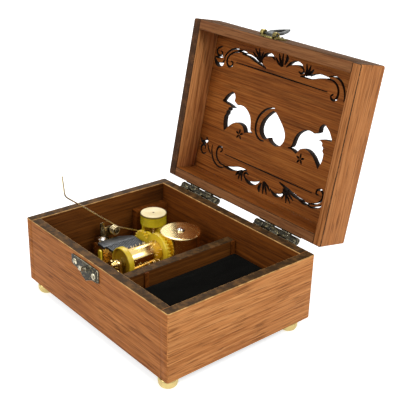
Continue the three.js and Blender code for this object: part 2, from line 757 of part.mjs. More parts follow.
/** Hinge knuckles: every other part of the barrel belongs to the lid. */
function build_hinges() {
  const barrel = hinge_barrel_diameter / 2;
  const bore = hinge_bore_diameter / 2;
  const reach = hinge_length / 2;
  const count = 5;
  const step = (hinge_length + knuckle_gap) / count;
  for (const [name, side] of [['left', -1], ['right', 1]]) {
    const middle = (side * hinge_spacing) / 2;
    for (const [leaf, group, face] of [['base', model, half_y], ['lid', lid, half_y + glue_gap]]) {
      const low = leaf === 'base' ? rim_z - hinge_leaf_margin - hinge_leaf_height : lid_rim_z + hinge_leaf_margin;
      const parts = [slab(middle - reach, middle + reach, face, face + hinge_leaf_thickness, low, low + hinge_leaf_height)];
      const neck = leaf === 'base' ? [low + hinge_leaf_height / 2, hinge_z] : [hinge_z, low + hinge_leaf_height / 2];
      for (let k = leaf === 'base' ? 0 : 1; k < count; k += 2) {
        const from = middle - reach + k * step;
        const to = from + step - knuckle_gap;
        parts.push(bar('x', hinge_y, hinge_z, barrel, from, to, small_steps));
        parts.push(slab(from, to, face, face + hinge_leaf_thickness, neck[0], neck[1]));
        const root = leaf === 'base' ? [hinge_z - barrel, hinge_z] : [hinge_z, hinge_z + barrel];
        parts.push(slab(from, to, face, hinge_y, root[0], root[1]));
      }
      const eye = bar('x', hinge_y, hinge_z, bore, middle - reach - overrun, middle + reach + overrun, small_steps);
      piece(`hinge_${name}_${leaf}_leaf`, less(joined(...parts), eye), 'bronze', group);
    }
    piece(`hinge_${name}_pin`, bar('x', hinge_y, hinge_z, hinge_pin_diameter / 2, middle - reach, middle + reach,
      small_steps), 'bright_steel');
  }
}

// The catch plate's outline, from its top middle: shares of its width and height.
const catch_outline_shares = [
  [-0.5, 0.06], [-0.46, 0], [0.46, 0], [0.5, 0.06], [0.5, 0.68], [0.42, 0.72], [0.28, 0.74], [0.16, 0.84],
  [0.03, 1], [-0.1, 0.86], [-0.2, 0.66], [-0.36, 0.58], [-0.46, 0.54], [-0.5, 0.46],
];
const bracket_outline_shares = [
  [-0.5, 1], [0.5, 1], [0.5, 0.62], [0.38, 0.46], [0.3, 0.2], [0.3, 0], [-0.3, 0], [-0.3, 0.2], [-0.38, 0.46], [-0.5, 0.62],
];
const loop_outline_shares = [
  [0, 1], [0.3, 0.68], [0.5, 0.34], [0.36, 0.15], [0.36, 0],
];

/** Catch plate with its hook, the hasp bracket, the loop that swings in it and their screws. */
function build_latch() {
  const top = rim_z - catch_plate_margin;
  const face = -half_y - fitting_thickness;
  const holes = catch_screws().map((p) => bar('y', p.x, p.y, fitting_screw_shank / 2 + running_gap,
    face - overrun, -half_y + overrun, small_steps));
  const outline = catch_outline_shares.map(([u, v]) => at(latch_offset + u * catch_plate_width, top - v * catch_plate_height));
  const hook_top = top - catch_hook_drop + catch_hook_height;
  const hook_tip = face - catch_hook_reach + fitting_thickness;
  const hook_low = hook_top - catch_hook_height;
  const hook = plate([at(-half_y, hook_low), at(-half_y, hook_top - catch_hook_lip), at(hook_tip + catch_hook_lip, hook_top - catch_hook_lip),
    at(hook_tip + catch_hook_lip, hook_top), at(hook_tip, hook_top), at(hook_tip, hook_low + catch_hook_lip), at(face, hook_low)],
  'x', latch_offset - catch_hook_width / 2, latch_offset + catch_hook_width / 2);
  piece('catch_plate', less(joined(plate(outline, 'y', face, -half_y), hook), ...holes), 'bronze');
  catch_screws().forEach((p, i) => {
    const body = screw(fitting_screw_diameter, fitting_screw_dome, fitting_screw_shank, fitting_screw_length);
    piece(`catch_screw_${i + 1}`, body.rotateX(Math.PI / 2).translate(p.x, face, p.y), 'bronze');
  });

  const plate_back = -half_y - glue_gap;
  const plate_face = plate_back - fitting_thickness;
  const low = lid_rim_z + bracket_margin;
  const axis_y = -half_y - hasp_axis_reach;
  const axis_z = lid_rim_z + hasp_axis_height;
  const spots = bracket_screws();
  const screw_holes = spots.map((p) => bar('y', p.x, p.y, fitting_screw_shank / 2 + running_gap,
    plate_face - overrun, -half_y + overrun, small_steps));
  const shape = bracket_outline_shares.map(([u, v]) => at(latch_offset + u * bracket_width, low + v * bracket_height));
  const parts = [plate(shape, 'y', plate_face, plate_back)];
  const knuckle = hasp_knuckle_diameter / 2;
  const spread = loop_outline_shares.at(-1)[0] * hasp_width;
  for (const side of [-1, 1]) {
    const inner = latch_offset + side * (spread + running_gap);
    const outer = inner + side * hasp_knuckle_width;
    const [x0, x1] = [Math.min(inner, outer), Math.max(inner, outer)];
    parts.push(bar('x', axis_y, axis_z, knuckle, x0, x1, small_steps));
    parts.push(slab(x0, x1, axis_y, plate_back, axis_z - knuckle / 2, axis_z + knuckle / 2));
  }
  const eye = bar('x', axis_y, axis_z, hasp_bore_diameter / 2, latch_offset - hasp_width, latch_offset + hasp_width, small_steps);
  piece('hasp_bracket', less(joined(...parts), eye, ...screw_holes), 'bronze', lid);
  spots.forEach((p, i) => {
    const body = screw(fitting_screw_diameter, fitting_screw_dome, fitting_screw_shank, fitting_screw_length);
    piece(`hasp_screw_${i + 1}`, body.rotateX(Math.PI / 2).translate(p.x, plate_face - glue_gap, p.y), 'bronze', lid);
  });

  const swing = new THREE.Group();
  swing.position.set(latch_offset, axis_y, axis_z);
  swing.rotation.x = THREE.MathUtils.degToRad(hasp_tilt);
  lid.add(swing);
  const half = loop_outline_shares.map(([u, v]) => at(u * hasp_width, v * hasp_length));
  const rim = [...half.slice(1).map((p) => at(-p.x, p.y)).reverse(), ...half];
  const hollow = loop_outline_shares.slice(0, -1).map(([u, v]) => at(
    u * (hasp_width - 2 * hasp_bar), hasp_bar + v * (hasp_length - 2.4 * hasp_bar)));
  const hole = [...hollow.slice(1).map((p) => at(-p.x, p.y)).reverse(), ...hollow];
  const blade = plate(rim, 'y', -hasp_thickness / 2, hasp_thickness / 2, [hole]);
  const pin = bar('x', 0, 0, hasp_pin_diameter / 2, -spread - hasp_knuckle_width, spread + hasp_knuckle_width, small_steps);
  piece('hasp_loop', joined(blade, pin), 'bronze', swing);
}

/** Bedplate with its comb stand, front bearing and two posts, all one casting. */
function build_bed() {
  const shaft_hole = shaft_diameter / 2 + running_gap;
  const bed = slab(bed_left, bed_right, bed_front, bed_back, floor_top, bed_top);
  const stand = slab(stand_left, stand_right, stand_front, stand_back, floor_top, comb_bottom);
  const arc = ring(cylinder_x, cylinder_z, bearing_rounding, 6, (3 * Math.PI) / 4, (-3 * Math.PI) / 4);
  const bearing = plate([
    at(cylinder_x + bearing_rounding, floor_top), ...arc.reverse(),
    at(cylinder_x - bearing_shoulder, cylinder_z - bearing_shoulder_drop), at(cylinder_x - bearing_shoulder, floor_top),
  ], 'y', bearing_y0, bearing_y1);
  const posts = post_places.map((p) => bar('z', p.x, p.y, post_diameter / 2, floor_top, post_top, small_steps));
  const cutters = [
    bar('y', cylinder_x, cylinder_z, shaft_hole, bearing_y0 - overrun, bearing_y1 + overrun, small_steps),
    bar('z', housing_x, housing_y, arbor_bore / 2, floor_top - overrun, bed_top + overrun),
    ...mount_places.map((p) => bar('z', p.x, p.y, mount_screw_hole / 2, floor_top - overrun, bed_top + overrun, small_steps)),
    ...post_places.map((p) => bar('z', p.x, p.y, ear_screw_shank / 2 + running_gap,
      post_top - ear_screw_length - running_gap, post_top + overrun, small_steps)),
    bar('z', stop_screw_place.x, stop_screw_place.y, stop_screw_shank / 2 + running_gap,
      comb_bottom - stop_screw_length, comb_bottom + overrun, small_steps),
  ];
  for (const p of comb_screw_places) {
    cutters.push(bar('z', p.x, p.y, comb_screw_shank / 2 + running_gap, floor_top - overrun, comb_bottom + overrun, small_steps));
    cutters.push(bar('z', p.x, p.y, comb_screw_head / 2 + running_gap, floor_top - overrun,
      floor_top + comb_screw_height + running_gap, small_steps));
  }
  piece('bedplate', less(joined(bed, stand, bearing, ...posts), ...cutters), 'gold');
  mount_places.forEach((p, i) => {
    const body = screw(mount_screw_head, mount_screw_height, mount_screw_shank, floor_thickness + bed_thickness - running_gap);
    piece(`mounting_screw_${i + 1}`, body.rotateX(Math.PI).translate(p.x, p.y, floor_bottom), 'bright_steel');
  });
}

/** Steel comb: a tapered body with sawn teeth that end just short of the cylinder's pins. */
function build_comb() {
  const pitch = (comb_y1 - comb_y0 + comb_slot) / comb_teeth;
  const points = [
    at(comb_root, stand_front), at(comb_left, stand_front), at(comb_left, stand_back),
    at(comb_left + comb_chamfer_width, comb_y1),
  ];
  for (let i = comb_teeth - 1; i >= 0; i -= 1) {
    const low = comb_y0 + i * pitch;
    points.push(at(comb_root, low + pitch - comb_slot), at(comb_tip, low + pitch - comb_slot));
    points.push(at(comb_tip, low), at(comb_root, low));
  }
  const screw_top = comb_bottom + comb_thickness / 2;
  const seats = comb_screw_places.map((p) => bar('z', p.x, p.y, comb_screw_shank / 2 + running_gap,
    comb_bottom - overrun, screw_top + running_gap, small_steps));
  piece('comb', less(plate(points, 'z', comb_bottom, comb_top), ...seats), 'steel');
  comb_screw_places.forEach((p, i) => {
    const seat = floor_top + comb_screw_height + running_gap;
    const body = screw(comb_screw_head, comb_screw_height, comb_screw_shank, screw_top - seat);
    piece(`comb_screw_${i + 1}`, body.rotateX(Math.PI).translate(p.x, p.y, seat), 'bright_steel');
  });
}

const tooth_foot_share = 0.5;
const tooth_tip_share = 0.2;

/** Outline of a spur gear, its first tooth turned by a share of one tooth. */
function gear_outline(x, y, pitch_radius, teeth, share = 0, tip = tooth_tip, root = tooth_root) {
  const step = (2 * Math.PI) / teeth;
  const points = [];
  for (let i = 0; i < teeth; i += 1) {
    const middle = (i + share) * step;
    const spots = [[-tooth_foot_share, -root], [-tooth_tip_share, tip], [tooth_tip_share, tip], [tooth_foot_share, -root]];
    for (const [turn, rise] of spots) {
      const angle = middle + (turn * step) / 2;
      points.push(at(x + (pitch_radius + rise) * Math.cos(angle), y + (pitch_radius + rise) * Math.sin(angle)));
    }
  }
  return points;
}

/** Pinned cylinder with its flange, gear and shaft. */
function build_cylinder() {
  const radius = cylinder_diameter / 2;
  const bore = shaft_diameter / 2 + running_gap;
  const pins = [];
  const row = cylinder_length / pin_rows;
  const golden = Math.PI * (Math.sqrt(5) - 1);
  for (let i = 0; i < pin_rows * pins_per_row; i += 1) {
    const y = cylinder_y0 + ((i % pin_rows) + 0.5) * row;
    const pin = slab(-pin_width / 2, pin_width / 2, y - pin_width / 2, y + pin_width / 2, radius - pin_width, radius + pin_length);
    pins.push(pin.rotateY(golden * i).translate(cylinder_x, 0, cylinder_z));
  }
  const drum = tube('y', cylinder_x, cylinder_z, radius, bore, cylinder_y0, cylinder_y1, fine_steps);
  piece('pin_cylinder', joined(drum, ...pins), 'gold');
  piece('cylinder_front_flange', tube('y', cylinder_x, cylinder_z, flange_diameter / 2, bore, flange_y0, cylinder_y0, fine_steps),
    'yellow_plastic');
  const teeth = plate(gear_outline(cylinder_x, cylinder_z, gear_pitch, cylinder_gear_teeth, cylinder_gear_share), 'y', tooth_y0, gear_y1);
  const rim = bar('y', cylinder_x, cylinder_z, gear_pitch + tooth_tip, cylinder_y1, tooth_y0, fine_steps);
  const eye = bar('y', cylinder_x, cylinder_z, bore, cylinder_y1 - overrun, gear_y1 + overrun);
  piece('cylinder_gear', less(joined(teeth, rim), eye), 'yellow_plastic');
  piece('cylinder_shaft', bar('y', cylinder_x, cylinder_z, shaft_diameter / 2, bearing_y0 - shaft_overhang, shaft_end, small_steps),
    'bright_steel');
}

/** Polished spring housing on its two ears, with the ear screws. */
function build_housing() {
  const outer = housing_diameter / 2;
  const bore = arbor_bore / 2;
  const h = housing_height;
  const r = housing_rounding;
  const lean = r * (1 - Math.SQRT1_2);
  const profile = [
    at(outer, 0), at(outer, h - r), at(outer - lean, h - lean), at(outer - r, h), at(bore, h), at(bore, h - housing_wall),
    at(housing_inner, h - housing_wall), at(housing_inner, 0), at(outer, 0),
  ];
  const ears = ear_angles.map((angle) => {
    const end = ring(ear_reach, 0, ear_width / 2, small_steps / 2, -Math.PI / 2, Math.PI);
    const ear = plate([at(housing_inner + running_gap, -ear_width / 2), ...end, at(housing_inner + running_gap, ear_width / 2)],
      'z', post_top, post_top + ear_thickness);
    return ear.rotateZ(THREE.MathUtils.degToRad(angle)).translate(housing_x, housing_y, 0);
  });
  const journal = bar('y', cylinder_x, cylinder_z, shaft_diameter / 2 + running_gap, housing_y - outer - overrun, housing_y, small_steps);
  const holes = post_places.map((p) => bar('z', p.x, p.y, ear_screw_shank / 2 + running_gap, post_top - overrun,
    post_top + ear_thickness + overrun, small_steps));
  const shell = turned(profile, housing_x, housing_y, post_top, fine_steps);
  piece('spring_housing', less(joined(shell, ...ears), journal, ...holes), 'gold');
  post_places.forEach((p, i) => {
    const body = screw(ear_screw_head, ear_screw_height, ear_screw_shank, ear_screw_length);
    piece(`housing_screw_${i + 1}`, body.translate(p.x, p.y, post_top + ear_thickness), 'bright_steel');
  });
}

/** Flat spring wound in a spiral about the arbor. */
function build_mainspring() {
  const steps = spring_turns * small_steps;
  const inner = spring_inner_diameter / 2;
  const outer = spring_outer_diameter / 2;
  const edges = [];
  for (const side of [-1, 1]) {
    edges.push(Array.from({ length: steps + 1 }, (_, i) => {
      const t = i / steps;
      const angle = 2 * Math.PI * spring_turns * t;
      const radius = inner + (outer - inner) * t + (side * spring_thickness) / 2;
      return at(housing_x + radius * Math.cos(angle), housing_y + radius * Math.sin(angle));
    }));
  }
  const outline = [...edges[0], ...edges[1].reverse()];
  piece('mainspring', plate(outline, 'z', post_top + spring_end_gap, housing_top - housing_wall - spring_end_gap), 'steel');
}

/** Great wheel: a disc whose teeth stand up from its rim and drive the cylinder gear. */
function build_great_wheel() {
  const low = bed_top + wheel_clearance;
  const high = low + wheel_thickness;
  const radius = wheel_diameter / 2;
  const disc = tube('z', 0, 0, radius, arbor_bore / 2, low, high, fine_steps);
  const teeth = [];
  for (let i = 0; i < wheel_teeth; i += 1) {
    const tooth = slab(radius - wheel_rim - running_gap, radius - running_gap, -wheel_tooth_width / 2, wheel_tooth_width / 2,
      high - wheel_thickness / 2, high + wheel_tooth_height);
    teeth.push(tooth.rotateZ((2 * Math.PI * (i + great_wheel_share)) / wheel_teeth));
  }
  piece('great_wheel', joined(disc, ...teeth).translate(housing_x, housing_y, 0), 'brass');
}

/** Winding arbor and the key that is pushed on it from below. */
function build_winding() {
  const hub_floor = key_ground_gap + key_hub_floor;
  const hub_top = key_ground_gap + key_hub_height;
  const top = housing_top + arbor_top_proud;
  const arbor = bar('z', housing_x, housing_y, arbor_diameter / 2, hub_floor + running_gap, top);
  const slot = slab(housing_x - arbor_diameter, housing_x + arbor_diameter, housing_y - arbor_slot_width / 2,
    housing_y + arbor_slot_width / 2, top - arbor_slot_depth, top + overrun);
  piece('winding_arbor', less(arbor, slot), 'bright_steel');
  const hub = bar('z', housing_x, housing_y, key_hub_diameter / 2, key_ground_gap, hub_top);
  const span = key_wing_span / 2;
  const thick = key_wing_thickness / 2;
  const wings = slab(housing_x - span, housing_x + span, housing_y - thick, housing_y + thick,
    key_ground_gap, key_ground_gap + key_wing_height);
  const bore = bar('z', housing_x, housing_y, arbor_diameter / 2 + running_gap, hub_floor, hub_top + overrun);
  piece('winding_key', less(joined(hub, wings), bore), 'brass');
}

/** Idler gear and worm wheel on one arbor. */
function build_idler() {
  const bore = idler_arbor_diameter / 2 + running_gap;
  const outline = gear_outline(idler_x, idler_z, idler_pitch, idler_teeth, idler_gear_share);
  piece('idler_gear', plate(outline, 'y', tooth_y0, gear_y1, [ring(idler_x, idler_z, bore, small_steps)]), 'yellow_plastic');
  const worm_outline = gear_outline(idler_x, idler_z, worm_wheel_diameter / 2 - worm_tooth, worm_wheel_teeth, 0, worm_tooth, worm_tooth);
  const half = worm_wheel_length / 2;
  piece('worm_wheel', plate(worm_outline, 'y', worm_wheel_y - half, worm_wheel_y + half,
    [ring(idler_x, idler_z, bore, small_steps)]), 'yellow_plastic');
  piece('idler_arbor', bar('y', idler_x, idler_z, idler_arbor_diameter / 2, tooth_y0 - running_gap,
    rear_lug_y1 - running_gap, small_steps), 'bright_steel');
}

/** Closed skin over equal rings of points, with a flat fan on both ends. */
function skin(rings) {
  const sides = rings[0].length;
  const places = rings.flat().flatMap((p) => [p.x, p.y, p.z]);
  const faces = [];
  for (let i = 0; i + 1 < rings.length; i += 1) {
    for (let k = 0; k < sides; k += 1) {
      const a = i * sides + k;
      const b = i * sides + ((k + 1) % sides);
      faces.push(a, b, b + sides, a, b + sides, a + sides);
    }
  }
  const last = (rings.length - 1) * sides;
  for (let k = 1; k + 1 < sides; k += 1) {
    faces.push(0, k + 1, k, last, last + k, last + k + 1);
  }
  const geometry = new THREE.BufferGeometry();
  geometry.setAttribute('position', new THREE.Float32BufferAttribute(places, 3));
  geometry.setIndex(faces);
  return geometry;
}

/** Governor: a worm on an upright shaft and the drum above it. */
function build_governor() {
  const arm_bottom = drum_bottom - frame_arm_gap - frame_arm_thickness;
  const top = arm_bottom - worm_end_gap;
  const core = worm_core_diameter / 2;
  const crest = worm_diameter / 2;
  const steps = Math.round((worm_length / worm_lead) * worm_steps);
  const rings = Array.from({ length: steps + 1 }, (_, i) => {
    const z = top - worm_length + (worm_length * i) / steps;
    const twist = (2 * Math.PI * i) / worm_steps;
    return Array.from({ length: worm_sides }, (_side, k) => {
      const turn = (2 * Math.PI * k) / worm_sides;
      const swell = (core + crest) / 2 + ((crest - core) / 2) * Math.cos(turn - twist);
      return new THREE.Vector3(worm_x + swell * Math.cos(turn), worm_wheel_y + swell * Math.sin(turn), z);
    });
  });
  const shaft = bar('z', worm_x, worm_wheel_y, governor_shaft_diameter / 2, bed_top + running_gap,
    drum_bottom + drum_height / 2, small_steps);
  piece('governor_worm', joined(skin(rings), shaft), 'yellow_plastic');
  const radius = drum_diameter / 2;
  const drum = turned([at(0, 0), at(radius, 0), at(radius, drum_height - drum_edge), at(radius - drum_edge, drum_height),
    at(0, drum_height)], worm_x, worm_wheel_y, drum_bottom, fine_steps);
  const bore = bar('z', worm_x, worm_wheel_y, governor_shaft_diameter / 2 + running_gap, drum_bottom - overrun,
    drum_bottom + drum_height / 2 + running_gap, small_steps);
  piece('governor_drum', less(drum, bore), 'cream_plastic');
}

/** Governor frame: foot, column, upper arm and the two lugs that carry the idler arbor. */
function build_frame() {
  const foot_right = idler_x + lug_leg_width / 2;
  const foot_left = foot_right - frame_foot_length;
  const foot_back = front_lug_y0 + frame_foot_depth;
  const arm_top = drum_bottom - frame_arm_gap;
  const arm_bottom = arm_top - frame_arm_thickness;
  const half_column = frame_column_depth / 2;
  const half_arm = (arm_top - arm_bottom) * 1.5;
  const leg = lug_leg_width / 2;
  const parts = [
    slab(foot_left, foot_right, front_lug_y0, foot_back, bed_top, bed_top + frame_foot_thickness),
    slab(foot_left, foot_left + frame_column_length, worm_wheel_y - half_column, worm_wheel_y + half_column, bed_top, arm_top),
    slab(foot_left, worm_x + frame_arm_reach, worm_wheel_y - half_arm, worm_wheel_y + half_arm, arm_bottom, arm_top),
    slab(idler_x - leg, idler_x + leg, front_lug_y0, front_lug_y1, bed_top, idler_z),
    bar('y', idler_x, idler_z, front_lug_diameter / 2, front_lug_y0, front_lug_y1),
    slab(idler_x - leg, idler_x + leg, rear_lug_y0, rear_lug_y1, bed_top, idler_z),
    bar('y', idler_x, idler_z, leg, rear_lug_y0, rear_lug_y1, small_steps),
  ];
  const holes = [
    bar('y', idler_x, idler_z, idler_arbor_diameter / 2 + running_gap, front_lug_y0 - overrun, rear_lug_y1 + overrun, small_steps),
    bar('z', worm_x, worm_wheel_y, governor_shaft_diameter / 2 + running_gap, bed_top - overrun, arm_top + overrun, small_steps),
  ];
  piece('governor_frame', less(joined(...parts), ...holes), 'yellow_plastic');
}

/** Bracket of the stop wire, on the comb stand, with its pivot and screw. */
function build_stop_bracket() {
  const foot_top = comb_bottom + bracket_foot_thickness;
  const y0 = stand_front + bracket_foot_setback;
  const y1 = y0 + bracket_foot_depth;
  const outer = bracket_face - bracket_plate_thickness;
  const foot = slab(outer, comb_left - bracket_comb_gap, y0, y1, comb_bottom, foot_top);
  const front = y1 - bracket_plate_lap;
  const back = front + bracket_plate_depth;
  const shelf = pivot_z + pivot_diameter / 2 + running_gap;
  const upright = plate([
    at(front, comb_bottom), at(back, comb_bottom), at(back, shelf), at(front + bracket_tab_depth, shelf),
    at(front + bracket_tab_depth, shelf + bracket_tab_rise), at(front, shelf + bracket_tab_rise),
  ], 'x', outer, bracket_face);
  const pivot = bar('x', pivot_y, pivot_z, pivot_diameter / 2, outer, coil_x + coil_half + wire_diameter / 2, small_steps);
  const hole = bar('z', stop_screw_place.x, stop_screw_place.y, stop_screw_shank / 2 + running_gap,
    comb_bottom - overrun, foot_top + overrun, small_steps);
  piece('stop_bracket', less(joined(foot, upright, pivot), hole), 'gold');
  const body = screw(stop_screw_head, stop_screw_height, stop_screw_shank, stop_screw_length);
  piece('stop_screw', body.translate(stop_screw_place.x, stop_screw_place.y, foot_top), 'bright_steel');
}

/** Middle line of the stop wire from its rear end, through the coil, to its raised tip. */
function wire_line() {
  const radius = coil_diameter / 2;
  const rear = at(rear_arm_length, -rear_arm_drop);
  const reach = pivot_y + inner_y - arm_wall_gap;
  const bend = at(arm_tip_lean - reach, arm_bend_height);
  const tip = at(-reach, arm_tip_height);
  const start = rear.angle() - 2 * Math.PI + Math.acos(radius / rear.length());
  const end = bend.angle() - Math.acos(radius / bend.length()) + 2 * Math.PI * coil_turns;
  const steps = Math.round((curl_steps * (end - start)) / (2 * Math.PI));
  const right = coil_x + coil_half;
  const left = coil_x - coil_half;
  const line = [new THREE.Vector3(right, pivot_y + rear.x, pivot_z + rear.y)];
  for (let i = 0; i <= steps; i += 1) {
    const t = i / steps;
    const angle = start + (end - start) * t;
    line.push(new THREE.Vector3(right + (left - right) * t, pivot_y + radius * Math.cos(angle), pivot_z + radius * Math.sin(angle)));
  }
  const knee = new THREE.Vector3(left - arm_spread, pivot_y + bend.x, pivot_z + bend.y);
  const point = new THREE.Vector3(left - arm_spread, pivot_y + tip.x, pivot_z + tip.y);
  const lead = knee.clone().lerp(line.at(-1), wire_diameter / bend.length());
  line.push(lead, knee, knee.clone().lerp(point, wire_diameter / point.distanceTo(knee)), point);
  return line;
}

/** Least gap of a wire to itself, between places more than half a turn of its coil apart. */
function least_gap(line) {
  const spots = [];
  let run = 0;
  for (let i = 0; i + 1 < line.length; i += 1) {
    const length = line[i].distanceTo(line[i + 1]);
    for (let k = 0; k < curl_steps; k += 1) {
      const t = k / curl_steps;
      spots.push([run + t * length, line[i].clone().lerp(line[i + 1], t)]);
    }
    run += length;
  }
  const apart = (Math.PI * coil_diameter) / 2;
  let least = Infinity;
  for (const [run_a, a] of spots) {
    for (const [run_b, b] of spots) {
      if (run_b - run_a > apart) least = Math.min(least, a.distanceTo(b));
    }
  }
  return least - wire_diameter;
}

/** The stop wire, one unbroken round wire. */
function build_stop_wire() {
  const line = wire_line();
  const radius = wire_diameter / 2;
  let normal = new THREE.Vector3(1, 0, 0);
  const rings = line.map((p, i) => {
    const before = line[Math.max(i - 1, 0)];
    const after = line[Math.min(i + 1, line.length - 1)];
    const along = after.clone().sub(before).normalize();
    normal = normal.clone().addScaledVector(along, -normal.dot(along)).normalize();
    const other = along.clone().cross(normal);
    return Array.from({ length: wire_sides }, (_, k) => {
      const turn = (2 * Math.PI * k) / wire_sides;
      return p.clone().addScaledVector(normal, radius * Math.cos(turn)).addScaledVector(other, radius * Math.sin(turn));
    });
  });
  piece('stop_wire', skin(rings), 'brass');
  console.log(`Stop wire: least gap to itself ${least_gap(line).toFixed(2)} mm`);
}

build_base();
build_feet();
build_pad();
build_lid();
build_hinges();
build_latch();
build_bed();
build_comb();
build_cylinder();
build_housing();
build_mainspring();
build_great_wheel();
build_winding();
build_idler();
build_governor();
build_frame();
build_stop_bracket();
build_stop_wire();

// The origin is the middle of the whole part's footprint, on the ground.
model.updateMatrixWorld(true);
const extent = new THREE.Box3().setFromObject(model, true);
const middle = extent.getCenter(new THREE.Vector3());
model.position.set(-middle.x, -middle.y, -extent.min.z);
model.updateMatrixWorld(true);

export default model;
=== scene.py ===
"""Looks of a wooden jewellery box with a fretwork lid and a small wind-up cylinder movement."""

import json
import logging
import math
import random
from collections.abc import Callable, Sequence
from dataclasses import dataclass, replace
from enum import Enum, IntEnum

import bmesh
import bpy
from bmesh.types import BMEdge, BMesh, BMFace
from bpy.types import Material, Node, NodeSocket, NodeTree, Object
from mathutils import Matrix, Vector

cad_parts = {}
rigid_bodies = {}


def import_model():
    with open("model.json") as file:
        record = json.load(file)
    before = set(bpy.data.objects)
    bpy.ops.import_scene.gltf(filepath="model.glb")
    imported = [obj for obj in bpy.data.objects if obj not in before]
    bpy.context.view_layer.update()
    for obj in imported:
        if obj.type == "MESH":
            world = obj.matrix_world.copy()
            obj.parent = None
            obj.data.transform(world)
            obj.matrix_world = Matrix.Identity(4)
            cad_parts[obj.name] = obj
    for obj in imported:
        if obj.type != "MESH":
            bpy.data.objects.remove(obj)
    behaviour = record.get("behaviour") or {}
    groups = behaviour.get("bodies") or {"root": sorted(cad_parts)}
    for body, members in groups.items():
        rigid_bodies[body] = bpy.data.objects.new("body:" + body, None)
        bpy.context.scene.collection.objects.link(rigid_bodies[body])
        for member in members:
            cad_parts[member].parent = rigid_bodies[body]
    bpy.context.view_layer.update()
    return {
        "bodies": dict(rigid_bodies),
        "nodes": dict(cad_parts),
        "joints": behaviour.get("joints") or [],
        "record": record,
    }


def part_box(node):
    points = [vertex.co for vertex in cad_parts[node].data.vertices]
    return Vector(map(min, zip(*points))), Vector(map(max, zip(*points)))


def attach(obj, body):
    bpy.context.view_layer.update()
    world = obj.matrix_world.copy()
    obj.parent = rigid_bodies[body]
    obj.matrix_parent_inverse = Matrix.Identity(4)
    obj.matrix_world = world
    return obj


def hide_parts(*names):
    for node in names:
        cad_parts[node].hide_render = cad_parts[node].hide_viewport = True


Triple = tuple[float, float, float]
Spot = tuple[float, float]
Profile = tuple[Spot, ...]
Picker = Callable[[BMFace], int]
EdgeRule = Callable[[BMEdge], bool]

log = logging.getLogger("music_box")
MM = 0.001
FOOTPRINT_SHIFT = -17.2536
OPEN_ANGLE = 100.8
HINGE_Y = 47.5
HINGE_Z = 40.25
MERGE_DISTANCE = 1e-7
NODE_MERGE_DISTANCE = 1e-6
FLATNESS = math.radians(0.5)
LOOKS_ALONG = 0.7
ALONG_X = (0, 0, 0)
ALONG_Y = (0, 0, 90)
LID_ALONG_X = (OPEN_ANGLE, 0, 0)
LID_ALONG_Y = (OPEN_ANGLE, 0, 90)
SAW_EASE = 0.1
MIX_SHARE, MIX_FIRST, MIX_SECOND, MIX_RESULT = 0, 6, 7, 2


class Axis(Enum):
    """The three directions of the row frame."""

    RIGHT = Vector((1, 0, 0))
    BACK = Vector((0, 1, 0))
    UP = Vector((0, 0, 1))


RIGHT, BACK, UP = (axis.value for axis in Axis)


class Side(IntEnum):
    """The numbers of a board's finishes, by the way that its faces look."""

    OUTER = 0
    INNER = 1
    RIM = 2
    END = 3


def place(x: float, y: float, z: float) -> Vector:
    """A place in the box's own millimetres, as a place in the row frame in metres."""
    return Vector((x, y + FOOTPRINT_SHIFT, z)) * MM


def lid_matrix() -> Matrix:
    """Returns: the turn from the closed lid's place to its open place, in the row frame."""
    hinge = Matrix.Translation(place(0, HINGE_Y, HINGE_Z))
    return hinge @ Matrix.Rotation(-math.radians(OPEN_ANGLE), 4, "X") @ hinge.inverted()


def opened(direction: Sequence[float]) -> Vector:
    """Returns: a direction of the closed lid, as it points with the lid open."""
    return lid_matrix().to_3x3() @ Vector(direction)


def dimmed(colour: Triple, share: float) -> Triple:
    """Returns: a colour times a share."""
    return tuple(channel * share for channel in colour)


def end_of(node: str, out: Vector) -> Vector:
    """Finds where a node ends.

    Args:
        node: the node's name.
        out: the way to that end, along an axis.

    Returns:
        The middle of that end of the node's box.
    """
    low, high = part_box(node)
    return Vector([b if way > 0 else a if way < 0 else (a + b) / 2 for a, b, way in zip(low, high, out)])


def as_object(name: str, made: BMesh) -> Object:
    """Makes a mesh an object of the scene.

    Args:
        name: the object's name.
        made: its mesh, which is freed.

    Returns:
        The object.
    """
    mesh = bpy.data.meshes.new(name)
    made.to_mesh(mesh)
    made.free()
    thing = bpy.data.objects.new(name, mesh)
    bpy.context.scene.collection.objects.link(thing)
    return thing


@dataclass(frozen=True)
class Noise:
    """A noise on object coordinates, drawn out along an axis whose stretch is below 1."""

    scale: float
    detail: float
    roughness: float
    distortion: float = 0
    stretch: Triple = (1, 1, 1)


class Pattern(Enum):
    """The noises that the finishes are made from."""

    WOOD_TONE = Noise(75, 3, 0.5, 0.8, (0.1, 1, 1))
    WOOD_FIBRE = Noise(1300, 4, 0.65, 0, (0.02, 1, 1))
    WOOD_FLECKS = Noise(820, 3, 0.6, 0.4, (0.035, 1, 1))
    WOOD_PORES = Noise(1500, 2, 0.5, 0, (0.05, 1, 1))
    WOOD_RINGS = Noise(230, 4, 0.6, 1.6, (0.03, 1, 1))
    STAIN_PATCHES = Noise(220, 5, 0.6)
    STAIN_GRAIN = Noise(1800, 3, 0.6, 0, (0.3, 0.3, 1))
    METAL_SCRATCHES = Noise(2400, 4, 0.6)
    METAL_TARNISH = Noise(260, 4, 0.55)
    BRONZE_PATCHES = Noise(900, 5, 0.62)
    BRONZE_SPOTS = Noise(3200, 3, 0.6)
    PLASTIC_TONE = Noise(160, 3, 0.5)
    PLASTIC_SKIN = Noise(3000, 2, 0.5)
    VELVET_PILE = Noise(5200, 3, 0.7)
    VELVET_STROKES = Noise(120, 4, 0.6, 0.4, (1, 0.35, 1))


